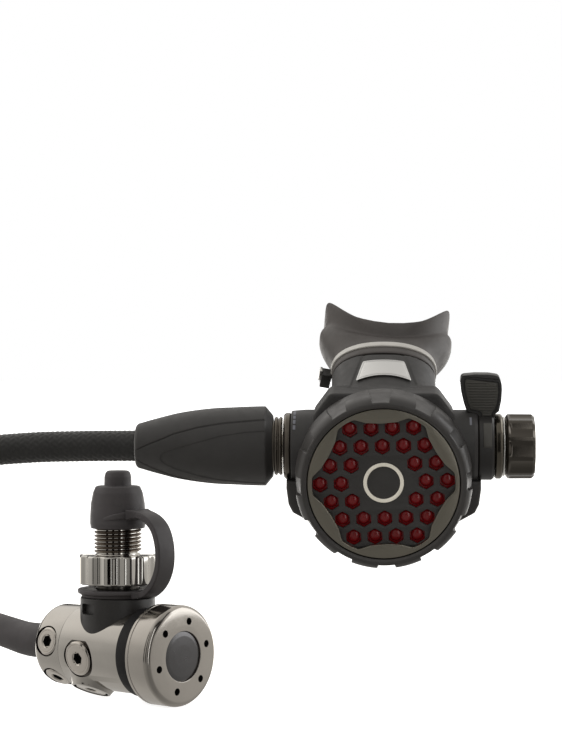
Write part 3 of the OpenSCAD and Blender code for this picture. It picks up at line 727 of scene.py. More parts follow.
def din_pieces():
    R = 18.65

    def flutes(a, r, z):
        if r < 15:
            return r, z
        t = (math.degrees(a) / 30.0) % 1.0
        d = abs(t - 0.5) / 0.34
        k = 0.0 if d >= 1 else (0.5 + 0.5 * math.cos(math.pi * d)) ** 0.62
        return r - 1.45 * k * (r - 15) / (R - 15), z

    core = lathe("wheel", [(10.6, 31.4), (R, 31.4, 1.1), (R, 45.4, 1.1), (10.9, 45.4, 0.2), (10.35, 46.2, 0.3), (10.35, 66.3, 0.6), (9.6, 67, 0.2), (9.6, 62), (8.05, 62),
                           (8.05, 34.5), (10.6, 34.5)], FIRST, MT["chrome_wheel"], n=[RAD(k * 1.0) for k in range(360)], seg=8, mod=flutes, smooth=28)
    # helical thread
    pitch, crest, root = 1.814, 11.45, 10.3
    turns, per = 11.2, 96
    z0 = 45.9
    ver, fc = [], []
    N = int(turns * per)
    for i in range(N + 1):
        a = 2 * math.pi * i / per
        z = z0 + pitch * i / per
        f = min(1.0, i / 50, (N - i) / 50)
        c = root + (crest - root) * f
        prof = [(root - 0.2, -0.86), (root, -0.80), (c - 0.06, -0.14), (c, -0.06), (c, 0.06), (c - 0.06, 0.14), (root, 0.80), (root - 0.2, 0.86)]
        for r, dz in prof:
            ver.append((r * math.cos(a), r * math.sin(a), z + dz * max(0.15, f)))
    q = 8
    for i in range(N):
        for k in range(q):
            fc.append((i * q + k, i * q + (k + 1) % q, (i + 1) * q + (k + 1) % q, (i + 1) * q + k))
    fc.append(tuple(range(q))[::-1])
    fc.append(tuple(N * q + k for k in range(q)))
    th = new_obj("thread", ver, fc, FIRST, MT["thread_dark"], 25)
    place(join("wheel.din", [core, th]), "din_wheel", "din_wheel")
    o = lathe("oring.din", [(7.1 + 0.98 * math.cos(2 * math.pi * k / 20), 68.8 + 0.98 * math.sin(2 * math.pi * k / 20)) for k in range(20)], FIRST, MT["rubber_black"], n=96, smooth=None)
    place(o, "root", "din_oring")


def first_boot_piece():
    d0 = Vector((-1, 0, 0))
    d1 = Vector((-math.cos(RAD(9)), 0, math.sin(RAD(9))))
    c1 = Vector((-63, 0, 0))
    P = []

    def at(s):
        """Centre and direction s mm behind the turret face, with a soft bend at 63."""
        if s < 58:
            return Vector((-s, 0, 0)), d0
        if s > 68:
            return c1 + d1 * (s - 63), d1
        t = (s - 58) / 10
        a = RAD(9) * t
        p = Vector((-58, 0, 0)).lerp(c1, t).lerp(c1.lerp(c1 + d1 * 5, t), t)
        return p, Vector((-math.cos(a), 0, math.sin(a)))

    outer = [(40.35, 8.1), (40.5, 8.35), (40.9, 8.6), (41.6, 8.7), (46, 8.62), (52, 8.52), (58, 8.42)] + [(58 + k, 8.42 - 0.03 * k) for k in range(1, 11)] + \
        [(74, 7.98), (80, 7.85), (86, 7.78), (88.0, 7.7), (88.7, 7.45), (89.0, 7.15)]
    inner = [(89.0, 6.9), (86, 6.86), (80, 6.86), (70, 6.88), (66, 6.7), (62.5, 5.75), (58, 5.75), (46.2, 5.75), (46.1, 6.7), (40.35, 6.7)]
    for s, r in outer + inner:
        c, d = at(s)
        P.append((c, d, r))
    ob = tube_along("boot.first", P, FIRST, RG, n=96, smooth=50)
    place(ob, "root", "first_boot")


first_body_piece()
turret_piece()
cap_piece()
saddle_piece()
strap_pieces()
din_pieces()
first_boot_piece()


# ---------------------------------------------------------------- hose ends, valve barrel fittings, knob, lever
def smooth01(t):
    t = max(0.0, min(1.0, t))
    return t * t * (3 - 2 * t)


def interp(tab, x):
    if x <= tab[0][0]:
        return tab[0][1]
    for (x0, y0), (x1, y1) in zip(tab, tab[1:]):
        if x <= x1:
            return y0 + (y1 - y0) * (x - x0) / (x1 - x0)
    return tab[-1][1]


def rbox(name, x0, x1, y0, y1, z0, z1, r, M, mat, seg=3):
    """Box whose edges are all rounded."""
    ver = [(x, y, z) for x in (x0, x1) for y in (y0, y1) for z in (z0, z1)]
    fc = [(0, 1, 3, 2), (4, 6, 7, 5), (0, 4, 5, 1), (2, 3, 7, 6), (0, 2, 6, 4), (1, 5, 7, 3)]
    ob = new_obj(name, ver, fc, M, mat, None)
    if r > 0:
        bevel_mod(ob, r, seg, 30, 45)
    return ob


def second_boot_piece():
    G = [(-107.7, 12), (-104.5, 22), (-100.7, 30.5), (-90.6, 46.8), (-80.5, 55.5), (-68, 62), (-52, 66.2), (-48, 66.5)]
    P = [(-96.4, 0), (-96.2, 4), (-95.7, 8.5), (-94.2, 13), (-89.6, 21), (-80.5, 30.8), (-70.5, 40.3), (-60.5, 45.6), (-52, 47.6), (-48, 47.6)]
    c0 = -14.5

    def mod(a, r, z):
        if r < 8:
            return r, z
        e = -90 - math.degrees(a)
        d = min(abs((e - c + 180) % 360 - 180) for c in (c0, c0 + 180))
        g, p = interp(G, z), interp(P, z)
        ends = smooth01((z + 107.9) / 1.2) * smooth01((-50.6 - z) / 0.9)
        s = (d - g) * math.pi / 180 * r          # mm outside the groove line
        h = 0.30 * (1 - smooth01((s + 0.15) / 0.5)) + 0.26 * math.exp(-(s / 0.26) ** 2)
        if z > -96.4:
            q = (d - p) * math.pi / 180 * r
            # near the nose the line bends round, so distance along the axis counts too
            q = min(q, 30)
            nose = (-96.4 - z) if p < 10 else -99
            q = max(q, nose) if p < 6 else q
            h += 0.34 * (1 - smooth01((q + 0.2) / 0.42))
        return r - h * ends, z

    xs = []
    prof = [(-48.0, 13.0), (-48.05, 13.35)]
    for i in range(9):
        t = i / 8
        prof.append((-48.2 - 3.0 * t, 13.5 + 3.7 * t))
    R = [(-51.2, 17.2), (-52.0, 17.35), (-58, 17.2), (-65.5, 16.85), (-72, 16.6), (-78.5, 16.0), (-84.5, 15.2), (-90.6, 14.1), (-96, 12.75), (-100.7, 11.5), (-104, 10.55), (-106, 9.95)]
    xs = catmull([(x, r, 0) for x, r in R], 18)
    prof += [(q.x, q.y) for q in xs[1:]]
    for i in range(1, 9):
        t = RAD(90 * i / 8)
        prof.append((-106.0 - 2.1 * math.sin(t), 9.95 - 2.1 * (1 - math.cos(t)) - 0.25 * i / 8))
    prof += [(-108.1, 7.0), (-107.6, 6.85), (-102, 6.85), (-102, 5.75), (-66.2, 5.75), (-66.2, 6.55), (-60.1, 6.55), (-60.1, 11.1), (-48.0, 11.1)]
    ob = lathe("boot.second", [(r, x) for x, r in prof], SECONDX, MT["plastic_soft"], n=480, mod=mod, smooth=38)
    place(ob, "root", "second_boot")


def barrel_rings():
    DN = MT["dark_nickel"]
    nut = lathe("nut.hose", [(5.1, -43.85), (12.1, -43.85, 0.3), (12.7, -44.35, 0.3), (12.7, -45.15, 0.35), (12.0, -45.45, 0.15), (12.0, -45.8, 0.15), (12.75, -46.1, 0.35),
                             (12.75, -46.9, 0.4), (12.3, -47.35, 0.2), (11, -47.4), (11, -60), (5.1, -60)], SECONDX, DN, n=160)
    place(nut, "root", "hose_nut")
    r = lathe("ring.inlet", [(8, -40.1), (14.0, -40.1, 0.25), (14.5, -40.7, 0.3), (14.5, -42.3, 0.5), (13.7, -43.25, 0.4), (8, -43.3)], SECONDX, DN, n=160)
    place(r, "second_stage", "inlet_ring")
    k = lathe("ring.knob", [(8, 47.9), (13.5, 47.9, 0.3), (14.1, 48.5, 0.4), (14.15, 50.4, 0.5), (13.5, 51.2, 0.3), (8, 51.3)], SECONDX, MT["ring_dark"], n=160)
    place(k, "second_stage", "knob_ring")
    w = lathe("washer.knob", [(3.2, 51.4), (13.0, 51.4, 0.2), (13.0, 52.1, 0.2), (3.2, 52.1)], SECONDX, MT["bright_ring"], n=160)
    place(w, "second_stage", "knob_washer")
    KR = 14.0

    def flutes(a, r, z):
        if r < 9 or z > 65.2:
            return r, z
        t = (math.degrees(a) / 36.0 + 0.18) % 1.0
        d = abs(t - 0.5) / 0.40
        k = 0.0 if d >= 1 else (1 - d * d)
        f = smooth01((z - 53.3) / 1.5)
        return r - 1.0 * k * f * (r - 9) / (KR - 9), z

    kn = lathe("knob", [(3.1, 52.3), (12.4, 52.3, 0.3), (KR, 53.5, 0.6)] + [(KR, 53.8 + 0.35 * i) for i in range(6)] +
               [(KR - 0.05, 63.9, 0.5), (12.9, 65.1, 0.5), (9.5, 65.45, 2), (0, 65.7), (0, 62), (3.1, 62)], SECONDX, MT["knob_dark"], n=360, mod=flutes, smooth=28)
    place(kn, "knob", "adjust_knob")


def lever_piece():
    PB = MT["plastic_black"]
    XZ = SECOND @ RX(90)                       # local x, y -> valve x, z ; local z -> -y (front)
    hub = lathe("hub", [(8, 40.65), (14.1, 40.65, 0.35), (14.6, 41.2, 0.4), (14.6, 46.6, 0.6), (13.7, 47.65, 0.4), (8, 47.65)], SECONDX, PB, n=200)
    out = fillet([(35.9, 15.7, 1.6), (34.6, 19.5, 9), (33.45, 24.2, 12), (33.0, 28.4, 5), (33.3, 31.7, 1.7), (39, 32.25, 12), (45, 32.2, 12), (49.6, 31.5, 2.2), (50.8, 28.0, 4),
                  (50.95, 25.4, 8), (50.7, 21.0, 8), (49.7, 16.0, 1.6), (48.1, 14.9, 1.2), (47.55, 12.6, 0.8), (47.55, 8.8), (41.15, 8.8), (41.15, 12.6, 0.8), (40.3, 14.7, 1.6)], True, 6)
    pad = flat_shape("paddle", [out], -2.5, 4.1, 0.5, XZ, PB)
    # groove round the ribbed field, and the split below the paddle's top edge
    LG = MT["lever_grey"]
    field = fillet([(37.6, 17.0, 0.8), (36.4, 19.8, 6), (35.3, 24.6, 8), (34.9, 28.2, 3), (35.1, 30.1, 0.7), (49.0, 28.5, 0.7), (49.3, 24.6, 4), (48.9, 20.6, 5), (48.1, 17.4, 0.8),
                    (46.6, 15.6, 0.9), (46.35, 12.0, 0.3), (42.75, 12.0, 0.3), (42.4, 15.6, 0.9), (40.4, 16.6, 1.2)], True, 5)
    wide = fillet([(37.3, 16.5, 0.8), (35.8, 19.8, 6), (34.6, 24.6, 8), (34.2, 28.2, 3), (34.4, 30.9, 0.9), (49.7, 29.1, 0.9), (50.0, 24.6, 4), (49.6, 20.4, 5), (48.8, 16.8, 0.8),
                   (47.2, 15.0, 0.6), (46.9, 11.0, 0.3), (42.2, 11.0, 0.3), (41.8, 15.0, 0.8), (40.2, 15.9, 1.2)], True, 5)
    groove = flat_shape("groove", [wide], 3.1, 6.0, 0.0, XZ, None)
    split = [(32.5, 31.35), (50.9, 29.75), (50.9, 30.05), (32.5, 31.65)]
    line = flat_shape("split", [split], 3.3, 6.0, 0.0, XZ, None)
    boolean(pad, [groove, line], mat=PB, smooth=35)
    bits = [hub, pad]
    bits.append(flat_shape("field", [field], 2.6, 3.75, 0.2, XZ, LG, res=2))
    L = [(11, 43.1), (15.2, 43.0), (16.0, 42.2), (16.9, 40.4), (17.3, 38.4), (19.8, 37.2), (24.6, 36.0), (28.2, 35.5), (30, 35.6)]
    Rr = [(11, 46.05), (15.4, 46.2), (16.2, 46.8), (17.4, 47.8), (20.6, 48.4), (24.6, 48.8), (28.4, 48.55)]
    z = 11.9
    while z < 29.2:
        a, b = interp(L, z), interp(Rr, z)
        if z > 29.5 - (b - 35.1) * 0.115:
            b = min(b, 35.1 + (29.5 - z) / 0.115)
        if b - a > 2.5:
            bits.append(rbox("rib", a, b, z, z + 0.62, 3.4, 4.25, 0.24, XZ, LG, 2))
        z += 1.18
    # raised bar down the front of the hub: a framed strip with a lighter face
    rings = []
    for i in range(33):
        e = RAD(8 + 44 * i / 32)
        f = min(1.0, i / 2.0)
        ro = 14.4 + 0.85 * (0.3 + 0.7 * f)
        sec = fillet([(42.75, 13.9, 0.05), (42.75, ro, 0.3), (46.35, ro, 0.3), (46.35, 13.9, 0.05)], True, 3)
        rings.append([Vector((x, -r * math.cos(e), r * math.sin(e))) for x, r in sec])
    bits.append(loft("bar", rings, SECOND, LG, smooth=40))
    ob = join("lever.venturi", bits)
    place(ob, "venturi", "venturi_lever")


second_boot_piece()
barrel_rings()
lever_piece()

# ---------------------------------------------------------------- second stage: case, cover, mouth
TW, TH = 46.5, 29.0
XZ2 = SECOND @ RX(90)


def osurf(w, h, a, e=2.25):
    c, s = math.cos(a), math.sin(a)
    return w / 2 * math.copysign(abs(c) ** (2 / e), c), h / 2 * math.copysign(abs(s) ** (2 / e), s)


def oval_top(x, w, h, e=2.25):
    """Height of the oval's upper side (towards -y of the mouth frame) at x."""
    return -h / 2 * max(0.0, 1 - abs(2 * x / w) ** e) ** (1 / e)


def prism(name, outline, z0, z1, M, mat=None):
    n = len(outline)
    ver = [(x, y, z0) for x, y in outline] + [(x, y, z1) for x, y in outline]
    fc = [tuple(range(n))[::-1], tuple(range(n, 2 * n))] + [(i, (i + 1) % n, n + (i + 1) % n, n + i) for i in range(n)]
    return new_obj(name, ver, fc, M, mat)


def bowl_cutter():
    return lathe("bowl", [(0, -9.5), (18, -9.5), (26, -6), (30, 1), (31, 8), (31, 18.9), (32.5, 18.9), (32.5, 26), (0, 26)], COVER, n=160)


def exhaust_at(s):
    return SECOND @ T3(0, 2, -10.5) @ RY(s * 110)


def case_piece():
    PS = MT["plastic_soft"]
    parts = [
        lathe("a", [(0, -13), (20, -13, 5), (28, -9, 5), (33, -2, 5), (35.8, 6, 4), (36.5, 13.7), (0, 13.7)], COVER, n=160, seg=6),
        prism("b", fillet([(-23.2, 25.0, 3), (-30.4, 15.2, 2), (-30.4, -6, 2), (30.4, -6, 2), (30.4, 15.2, 2), (23.2, 25.0, 3)], True, 4), -11, 9.5, XZ2),
        prism("c", oval(TW, TH, 128), -2, 37.9, MOUTH),
        lathe("d", [(0, -38.5), (14.7, -38.5), (14.7, 38.5), (0, 38.5)], SECONDX, n=96),
    ]
    ob = join("case.second", parts)
    md = ob.modifiers.new("r", "REMESH")
    md.mode = "VOXEL"
    md.voxel_size = 0.00055
    sm = ob.modifiers.new("s", "SMOOTH")
    sm.factor = 0.5
    sm.iterations = 26
    apply_mods(ob, 60)
    # shallow panel that carries the plate
    Mi = MOUTH.inverted()
    for v in ob.data.vertices:
        q = Mi @ v.co
        if q.y < -6 and 3 < q.z < 39:
            hw = 9.6 + (38 - q.z) * 0.23
            f = smooth01((hw - abs(q.x)) / 0.7) * smooth01((q.z - 9) / 4)
            if f > 0:
                dz = Vector((0, 0.42 * f, 0))
                v.co = MOUTH @ (q + dz)
    cut = [bowl_cutter(), prism("m", oval(TW - 8, TH - 8, 96), 4, 60, MOUTH), lathe("k", [(0, -45), (14.9, -45), (14.9, 45), (0, 45)], SECONDX, n=128),
           lathe("s", [(34.0, 13.2), (40, 13.2), (40, 24), (34.0, 24)], COVER, n=160),
           lathe("t", [(36.75, 10.8), (44, 10.8), (44, 26), (36.75, 26)], COVER, n=160)]
    for s in (-1, 1):
        cut.append(rod(4.3, 24, 44, exhaust_at(s)))
    boolean(ob, cut, smooth=50)
    ob.data.materials.clear()
    ob.data.materials.append(PS)
    barrel = lathe("barrel", [(8, -40), (15.0, -40, 0.3), (15.4, -39.55, 0.3), (15.9, -34, 6), (15.9, 38.9, 0.5), (15.2, 40.4, 0.25), (11.2, 40.4), (11.2, 12), (8, 12)], SECONDX, PS, n=224)
    boolean(barrel, [bowl_cutter(), prism("m", oval(TW - 8, TH - 8, 96), 4, 60, MOUTH)], smooth=35)
    seat = lathe("seat", [(31.0, 10), (34.45, 10), (34.45, 22, 0.2), (32.55, 22), (32.55, 18.95), (31.0, 18.95)], COVER, PS, n=160)
    rings = []
    n = 96
    for w, h, t in ((TW - 4.4, TH - 4.4, 36), (TW - 4.4, TH - 4.4, 49.6), (TW - 5.0, TH - 5.0, 50.0), (TW - 8, TH - 8, 50.0), (TW - 8, TH - 8, 36)):
        rings.append([Vector((x, y, t)) for x, y in oval(w, h, n)])
    ver = [q for r in rings for q in r]
    fc = []
    for j in range(5):
        b = (j + 1) % 5
        for k in range(n):
            q = (k + 1) % n
            fc.append((j * n + k, j * n + q, b * n + q, b * n + k))
    sp = new_obj("spigot", ver, fc, MOUTH, PS, 30)
    bits = [ob, barrel, seat, sp]
    for s in (-1, 1):
        bits.append(lathe("boss", [(4.3, 30), (5.4, 30), (5.4, 37, 0.2), (4.3, 37)], exhaust_at(s), PS, n=48))
        bits.append(lathe("hub", [(1.95, 35), (2.8, 35), (2.8, 37), (1.95, 37)], exhaust_at(s), PS, n=32))
        for a in (0, 90):
            for sg in (-1, 1):
                bits.append(rbox("spoke", sg * 2.5 - 0.02 if sg < 0 else 2.5, sg * 4.8, -0.6, 0.6, 35.1, 36.9, 0, exhaust_at(s) @ RZ(a), PS))
    # index marks: plain dashes on the barrel
    for x0, x1, rb, spans in ((-39.0, -37.9, 15.66, ((84, 71), (68, 60), (57, 49), (46, 38))), (36.9, 37.8, 15.96, ((62, 46),))):
        for e0, e1 in spans:
            rr = []
            for i in range(9):
                e = RAD(e1 + (e0 - e1) * i / 8)
                rr.append([Vector((x, -r * math.cos(e), r * math.sin(e))) for x, r in ((x0, 14.9), (x0, rb), (x1, rb), (x1, 14.9))])
            bits.append(loft("dash", rr, SECOND, MT["mark_grey"]))
    ob = join("case.second", bits)
    place(ob, "second_stage", "second_case")


def cover_ring_piece():
    PR = MT["plastic_ring"]

    def mod(a, r, z):
        if r < 35.0 or z < 17.9:
            return r, z
        t = (math.degrees(a) / 30.0) % 1.0
        t = abs(t - 0.5 if False else (t if t < 0.5 else t - 1)) * 30.0    # degrees from the notch centre
        half = 7.7 - 1.9 * smooth01((z - 18) / 12.0)
        f = smooth01((half - t) / 0.55 + 0.5)
        floor = 37.45 - 2.2 * (max(z - 18, 0) / 12.0) ** 0.8
        if r > floor:
            r = r + (floor - r) * f
        return r, z

    zs = [(38.0, 12.0, 0.3), (38.0, 17.9), (38.0, 18.25)] + [(38.0 - 0.02 * i, 18.4 + 0.75 * i) for i in range(8)] + \
         [(37.8, 24.4), (37.55, 26.0), (37.15, 27.5), (36.6, 28.8), (36.0, 29.7), (35.5, 30.25), (35.05, 30.62, 0.2)]
    prof = [(34.6, 14), (36.75, 14), (36.75, 11.1), (37.7, 11.1, 0.3)] + zs + [(34.6, 30.85, 0.4), (33.6, 30.9, 0.5), (32.65, 30.3, 0.3), (32.65, 22.2), (34.6, 22.2)]
    angs = []
    d = 0.0
    while d < 360:
        angs.append(RAD(d))
        t = d % 30
        t = min(t, 30 - t)
        d += 0.125 if 4.8 < t < 9.2 else 0.75
    ob = lathe("ring.cover", prof, COVER, PR, n=angs, mod=mod, smooth=34, seg=4)
    cut = []
    for a in (153, 183, 24, -6):
        cut.append(rod(0.42, 28.0, 34, COVER @ RZ(a) @ T3(36.45, 0, 0), 20))
    boolean(ob, cut, mat=PR, smooth=34)
    place(ob, "second_stage", "cover_ring")


def circle(r, n=180):
    return [(r * math.cos(2 * math.pi * i / n), r * math.sin(2 * math.pi * i / n)) for i in range(n)]


def trim_ring_piece():
    key = []
    for i in range(6):
        c = 30 + 60 * i
        key += [(c - 30, 30.35), (c - 22.6, 30.3, 2.6), (c - 13.6, 27.15, 2.0), (c, 26.0, 18), (c + 13.6, 27.15, 2.0), (c + 22.6, 30.3, 2.6)]
    pts = []
    for k in key:
        a = RAD(k[0])
        pts.append((k[1] * math.cos(a), k[1] * math.sin(a), k[2] if len(k) > 2 else 9))
    inner = fillet(pts, True, 6)
    ob = flat_shape("ring.trim", [circle(32.3, 240), inner], 27.6, 29.85, 0.34, COVER, MT["bronze_satin"], res=3, smooth=30)
    place(ob, "second_stage", "trim_ring")


HEXES = []
for q in range(-3, 4):
    for r in range(-3, 4):
        if abs(q + r) <= 3 and max(abs(q), abs(r), abs(q + r)) >= 2:
            HEXES.append((9 * (q + r / 2), 9 * r * math.sqrt(3) / 2))


def purge_pieces():
    PB = MT["plastic_comb"]
    outs = [circle(31.5, 200)]
    R = 6.3 / math.sqrt(3)
    for hx, hy in HEXES:
        outs.append(fillet([(hx + R * math.sin(RAD(60 * k)), hy + R * math.cos(RAD(60 * k)), 0.55) for k in range(6)], True, 3))
    ob = flat_shape("cover.purge", outs, 24.9, 26.8, 0.22, COVER, PB, res=2, smooth=30)
    boolean(ob, [rod(8.7, 26.45, 30, COVER, 96)], mat=PB, smooth=30)
    place(ob, "purge", "purge_cover")
    em = lathe("emblem", [(7.05, 26.45), (8.6, 26.45), (8.6, 27.05, 0.18), (7.05, 27.05, 0.18)], COVER, MT["inlay_ivory"], n=128)
    place(em, "purge", "cover_emblem")
    RD = MT["plastic_red"]
    base = lathe("shield", [(0, 19.6), (8, 19.6, 0.3), (8.4, 22.9), (8.9, 22.9), (31, 22.9, 0.2), (31, 23.65, 0.2), (0, 23.65)], COVER, RD, n=128)
    cut = [rod(1.0, 20, 27, COVER @ RZ(30 * k + 15) @ T3(29, 0, 0), 24) for k in range(12)]
    boolean(base, cut, mat=RD)
    bits = [base]
    for hx, hy in HEXES:
        prof = [(0, 23.6)] + [(2.7, 23.6)] + [(2.7 * math.cos(RAD(15 * k)), 23.7 + 0.85 * math.sin(RAD(15 * k))) for k in range(0, 6)] + [(0, 24.55)]
        bits.append(lathe("dome", prof, COVER @ T3(hx, hy, 0), RD, n=32, smooth=None))
    ob = join("shield.inner", bits)
    place(ob, "purge", "inner_cover")


def ears_piece():
    PB = MT["plastic_ear"]
    half = [(-42.0, -13.2), (-42.1, -17, 1), (-41.2, -24, 3), (-39.4, -27.6, 2.2), (-33, -31.2, 6), (-22, -38.3, 8), (-14.2, -41.8, 0.5), (-14.2, -13.2)]
    bits = []
    for s in (1, -1):
        o = fillet([(p[0] * s, p[1]) + tuple(p[2:]) for p in (half if s == 1 else half[::-1])], True, 6)
        ear = flat_shape("ear", [o], -15, 10.2, 1.5, XZ2, PB, res=5)
        c1 = rbox("c", *sorted((-39.6 * s, -17.6 * s)), -7.5, 12.5, -40, -17.5, 0, SECOND, PB)
        c2 = rbox("c", *sorted((-39.6 * s, -17.6 * s)), 9, 19, -30, -21, 0, SECOND, PB)
        bits.append(boolean(ear, [c1, c2, lathe("k", [(0, -43.5), (15.1, -43.5), (15.1, 43.5), (0, 43.5)], SECONDX, n=128),
                                  lathe("b", [(0, -13.1), (20.1, -13.1), (28.1, -9.1), (33.1, -2), (35.9, 6), (36.7, 12), (36.7, 18), (0, 18)], COVER, n=128)], mat=PB, smooth=35))
    ob = join("ears.exhaust", bits)
    place(ob, "second_stage", "exhaust_covers")


def plate_piece():
    nu, nv = 120, 66
    ver, fc = [], []
    for lay, (w, h) in enumerate(((TW + 0.04, TH + 0.04), (TW + 1.0, TH + 1.0))):
        for j in range(nv + 1):
            v = j / nv
            for i in range(nu + 1):
                u = 2 * i / nu - 1
                hw = 12.2 - 3.0 * v
                x = u * hw
                tb = 17.0 + 2.3 * math.cos(u * math.pi / 2)
                t = tb + (31.4 - 0.25 * u * u - tb) * v
                # corners are rounded by pulling the rim in
                cu, cv = max(0.0, abs(u) - 0.93) / 0.07, max(0.0, abs(2 * v - 1) - 0.86) / 0.14
                x *= 1 - 0.035 * cu * cv
                # a shallow border line runs round inside the rim
                e = min((1 - abs(u)) * hw, (v * (31.4 - tb)), (1 - v) * (31.4 - tb))
                g = 0.16 * math.exp(-((e - 0.95) / 0.22) ** 2) if lay else 0.0
                ver.append((x, oval_top(x, w, h) + g, t))
    m = (nu + 1) * (nv + 1)
    for lay in (0, 1):
        for j in range(nv):
            for i in range(nu):
                a = lay * m + j * (nu + 1) + i
                fc.append((a, a + 1, a + nu + 2, a + nu + 1))
    rim = [i for i in range(nu + 1)] + [j * (nu + 1) + nu for j in range(1, nv + 1)] + [nv * (nu + 1) + i for i in range(nu - 1, -1, -1)] + [j * (nu + 1) for j in range(nv - 1, 0, -1)]
    for k in range(len(rim)):
        a, b = rim[k], rim[(k + 1) % len(rim)]
        fc.append((a, b, m + b, m + a))
    ob = new_obj("plate", ver, fc, MOUTH, MT["plate_silver"], 30)
    bevel_mod(ob, 0.16, 2, 50, 40)
    place(ob, "second_stage", "name_plate")


def mouthpiece_piece():
    SD = MT["silicone_dark"]
    ROLL = MOUTH @ RZ(0)
    #  half width, half height, t, sweep, exponent, roll
    R = [(23.1, 14.35, 38.25, 0, 2.25, 0), (23.2, 14.45, 38.9, 0, 2.25, 0), (23.2, 14.45, 42.7, 0, 2.25, 0), (22.95, 14.2, 43.0, 0, 2.25, 0), (22.95, 14.2, 46.1, 0, 2.25, 0), (23.2, 14.45, 46.5, 0, 2.25, 0),
         (23.5, 14.4, 48.2, 0.5, 2.3, 0.2), (24.9, 14.1, 49.9, 2.5, 2.35, 0.5), (27.3, 13.8, 51.0, 5.5, 2.4, 0.8), (29.5, 13.6, 51.8, 8.5, 2.5, 1), (30.6, 13.3, 52.5, 11.2, 2.6, 1), (30.2, 12.9, 53.1, 13.4, 2.8, 1),
         (28.9, 12.75, 53.7, 14.9, 3.1, 1), (28.2, 13.1, 54.3, 16.0, 3.5, 1), (28.1, 14.4, 55.2, 16.8, 4.2, 1), (28.5, 16.0, 56.3, 17.6, 6, 1), (28.8, 16.8, 57.0, 18.2, 8, 1), (28.6, 17.1, 57.6, 18.8, 9, 1),
         (27.9, 16.7, 58.1, 19.0, 8, 1), (25.8, 14.6, 58.0, 17.6, 4, 1), (22, 12, 57.0, 15, 3.2, 1), (17.2, 9.6, 56.2, 11, 2.8, 0.8), (15.6, 8.7, 55.3, 8, 2.5, 0.5), (15.5, 8.5, 53, 3, 2.3, 0), (15.5, 8.5, 51.2, 0, 2.25, 0),
         (21.1, 12.35, 50.15, 0, 2.25, 0), (21.1, 12.35, 38.25, 0, 2.25, 0)]
    n = 144
    ver = []
    for w, h, t0, K, e, ro in R:
        for k in range(n):
            a = 2 * math.pi * k / n
            c, s = math.cos(a), math.sin(a)
            x = w * math.copysign(abs(c) ** (2 / e), c)
            y = h * math.copysign(abs(s) ** (2 / e), s)
            t = t0 + K * (1 + 0.05 * ro) * (abs(x) / 28) ** (2.0 + 0.35 * ro)
            g = RAD(4.6 * ro)
            x, y = x * math.cos(g) - y * math.sin(g), x * math.sin(g) + y * math.cos(g)
            x += 1.0 * ro * (1 if t0 > 53.6 else (t0 - 48) / 5.6 if t0 > 48 else 0)
            ver.append((x, y, t))
    fc = []
    m = len(R)
    for j in range(m):
        b = (j + 1) % m
        for k in range(n):
            q = (k + 1) % n
            fc.append((j * n + k, j * n + q, b * n + q, b * n + k))
    body = new_obj("mouthpiece", ver, fc, MOUTH, SD, None)
    md = body.modifiers.new("sub", "SUBSURF")
    md.levels = md.render_levels = 1
    apply_mods(body, None)
    bits = [body]
    for s in (-1, 1):
        # bite tab with two ridges
        bits.append(rbox("tab", *sorted((s * 16.5, s * 24.0)), -1.6, 1.6, 62, 82, 1.4, MOUTH @ RZ(4.6), SD, 4))
        bits.append(rbox("tab", *sorted((s * 17.2, s * 23.4)), -3.4, 3.4, 78.4, 81.4, 1.3, MOUTH @ RZ(4.6), SD, 4))
        bits.append(rbox("tab", *sorted((s * 17.2, s * 23.4)), -2.6, 2.6, 70.5, 73.0, 1.0, MOUTH @ RZ(4.6), SD, 4))
    ob = join("mouthpiece", bits)
    place(ob, "second_stage", "mouthpiece")


def tie_pieces():
    n = 240
    rings = []
    for k in range(n):
        a = 2 * math.pi * k / n
        x, y = osurf(TW, TH, a)
        x2, y2 = osurf(TW + 2, TH + 2, a)
        d = Vector((x2 - x, y2 - y, 0)).normalized()
        base = Vector((x, y, 0)) - d * 0.22
        sec = fillet([(0, 43.0, 0.1), (0.78, 43.0, 0.28), (0.78, 46.15, 0.28), (0, 46.15, 0.1)], True, 3)
        rings.append([base + d * r + Vector((0, 0, z)) for r, z in sec])
    ver = [q for r in rings for q in r]
    q0 = len(rings[0])
    fc = []
    for j in range(n):
        b = (j + 1) % n
        for k in range(q0):
            q = (k + 1) % q0
            fc.append((j * q0 + k, j * q0 + q, b * q0 + q, b * q0 + k))
    ob = new_obj("tie", ver, fc, MOUTH, MT["plastic_white"], 40)
    place(ob, "second_stage", "mouthpiece_tie")
    M = MOUTH @ T3(-26.2, 3.6, 44.5) @ RZ(12)
    b1 = rbox("buckle", -2.3, 2.3, -3.5, 3.5, -2.9, 2.9, 0.4, M, MT["plastic_black"])
    slit = rbox("slit", -1.2, -0.2, -3.2, 3.2, 2.0, 4.0, 0, M, MT["plastic_black"])
    boolean(b1, [slit], mat=MT["plastic_black"], smooth=35)
    tip = rbox("tip", -3.4, -2.2, -4.6, 0.6, -1.7, 1.7, 0.25, M, MT["bright_ring"])
    ob = join("tie.buckle", [b1, tip])
    place(ob, "second_stage", "tie_buckle")


case_piece()
cover_ring_piece()
trim_ring_piece()
purge_pieces()
ears_piece()
plate_piece()
mouthpiece_piece()
tie_pieces()

# ---------------------------------------------------------------- light and floor
def area(name, loc, rot_to, size, power, size_y=None, color=(1, 1, 1)):
    li = bpy.data.lights.new(name, "AREA")
    li.shape = "RECTANGLE"
    li.size = size
    li.size_y = size_y or size
    li.energy = power
    li.color = color
    ob = bpy.data.objects.new(name, li)
    ob.location = loc
    d = Vector(rot_to) - Vector(loc)
    ob.rotation_euler = d.to_track_quat("-Z", "Y").to_euler()
    ob.visible_camera = False
    COL.objects.link(ob)
    return ob


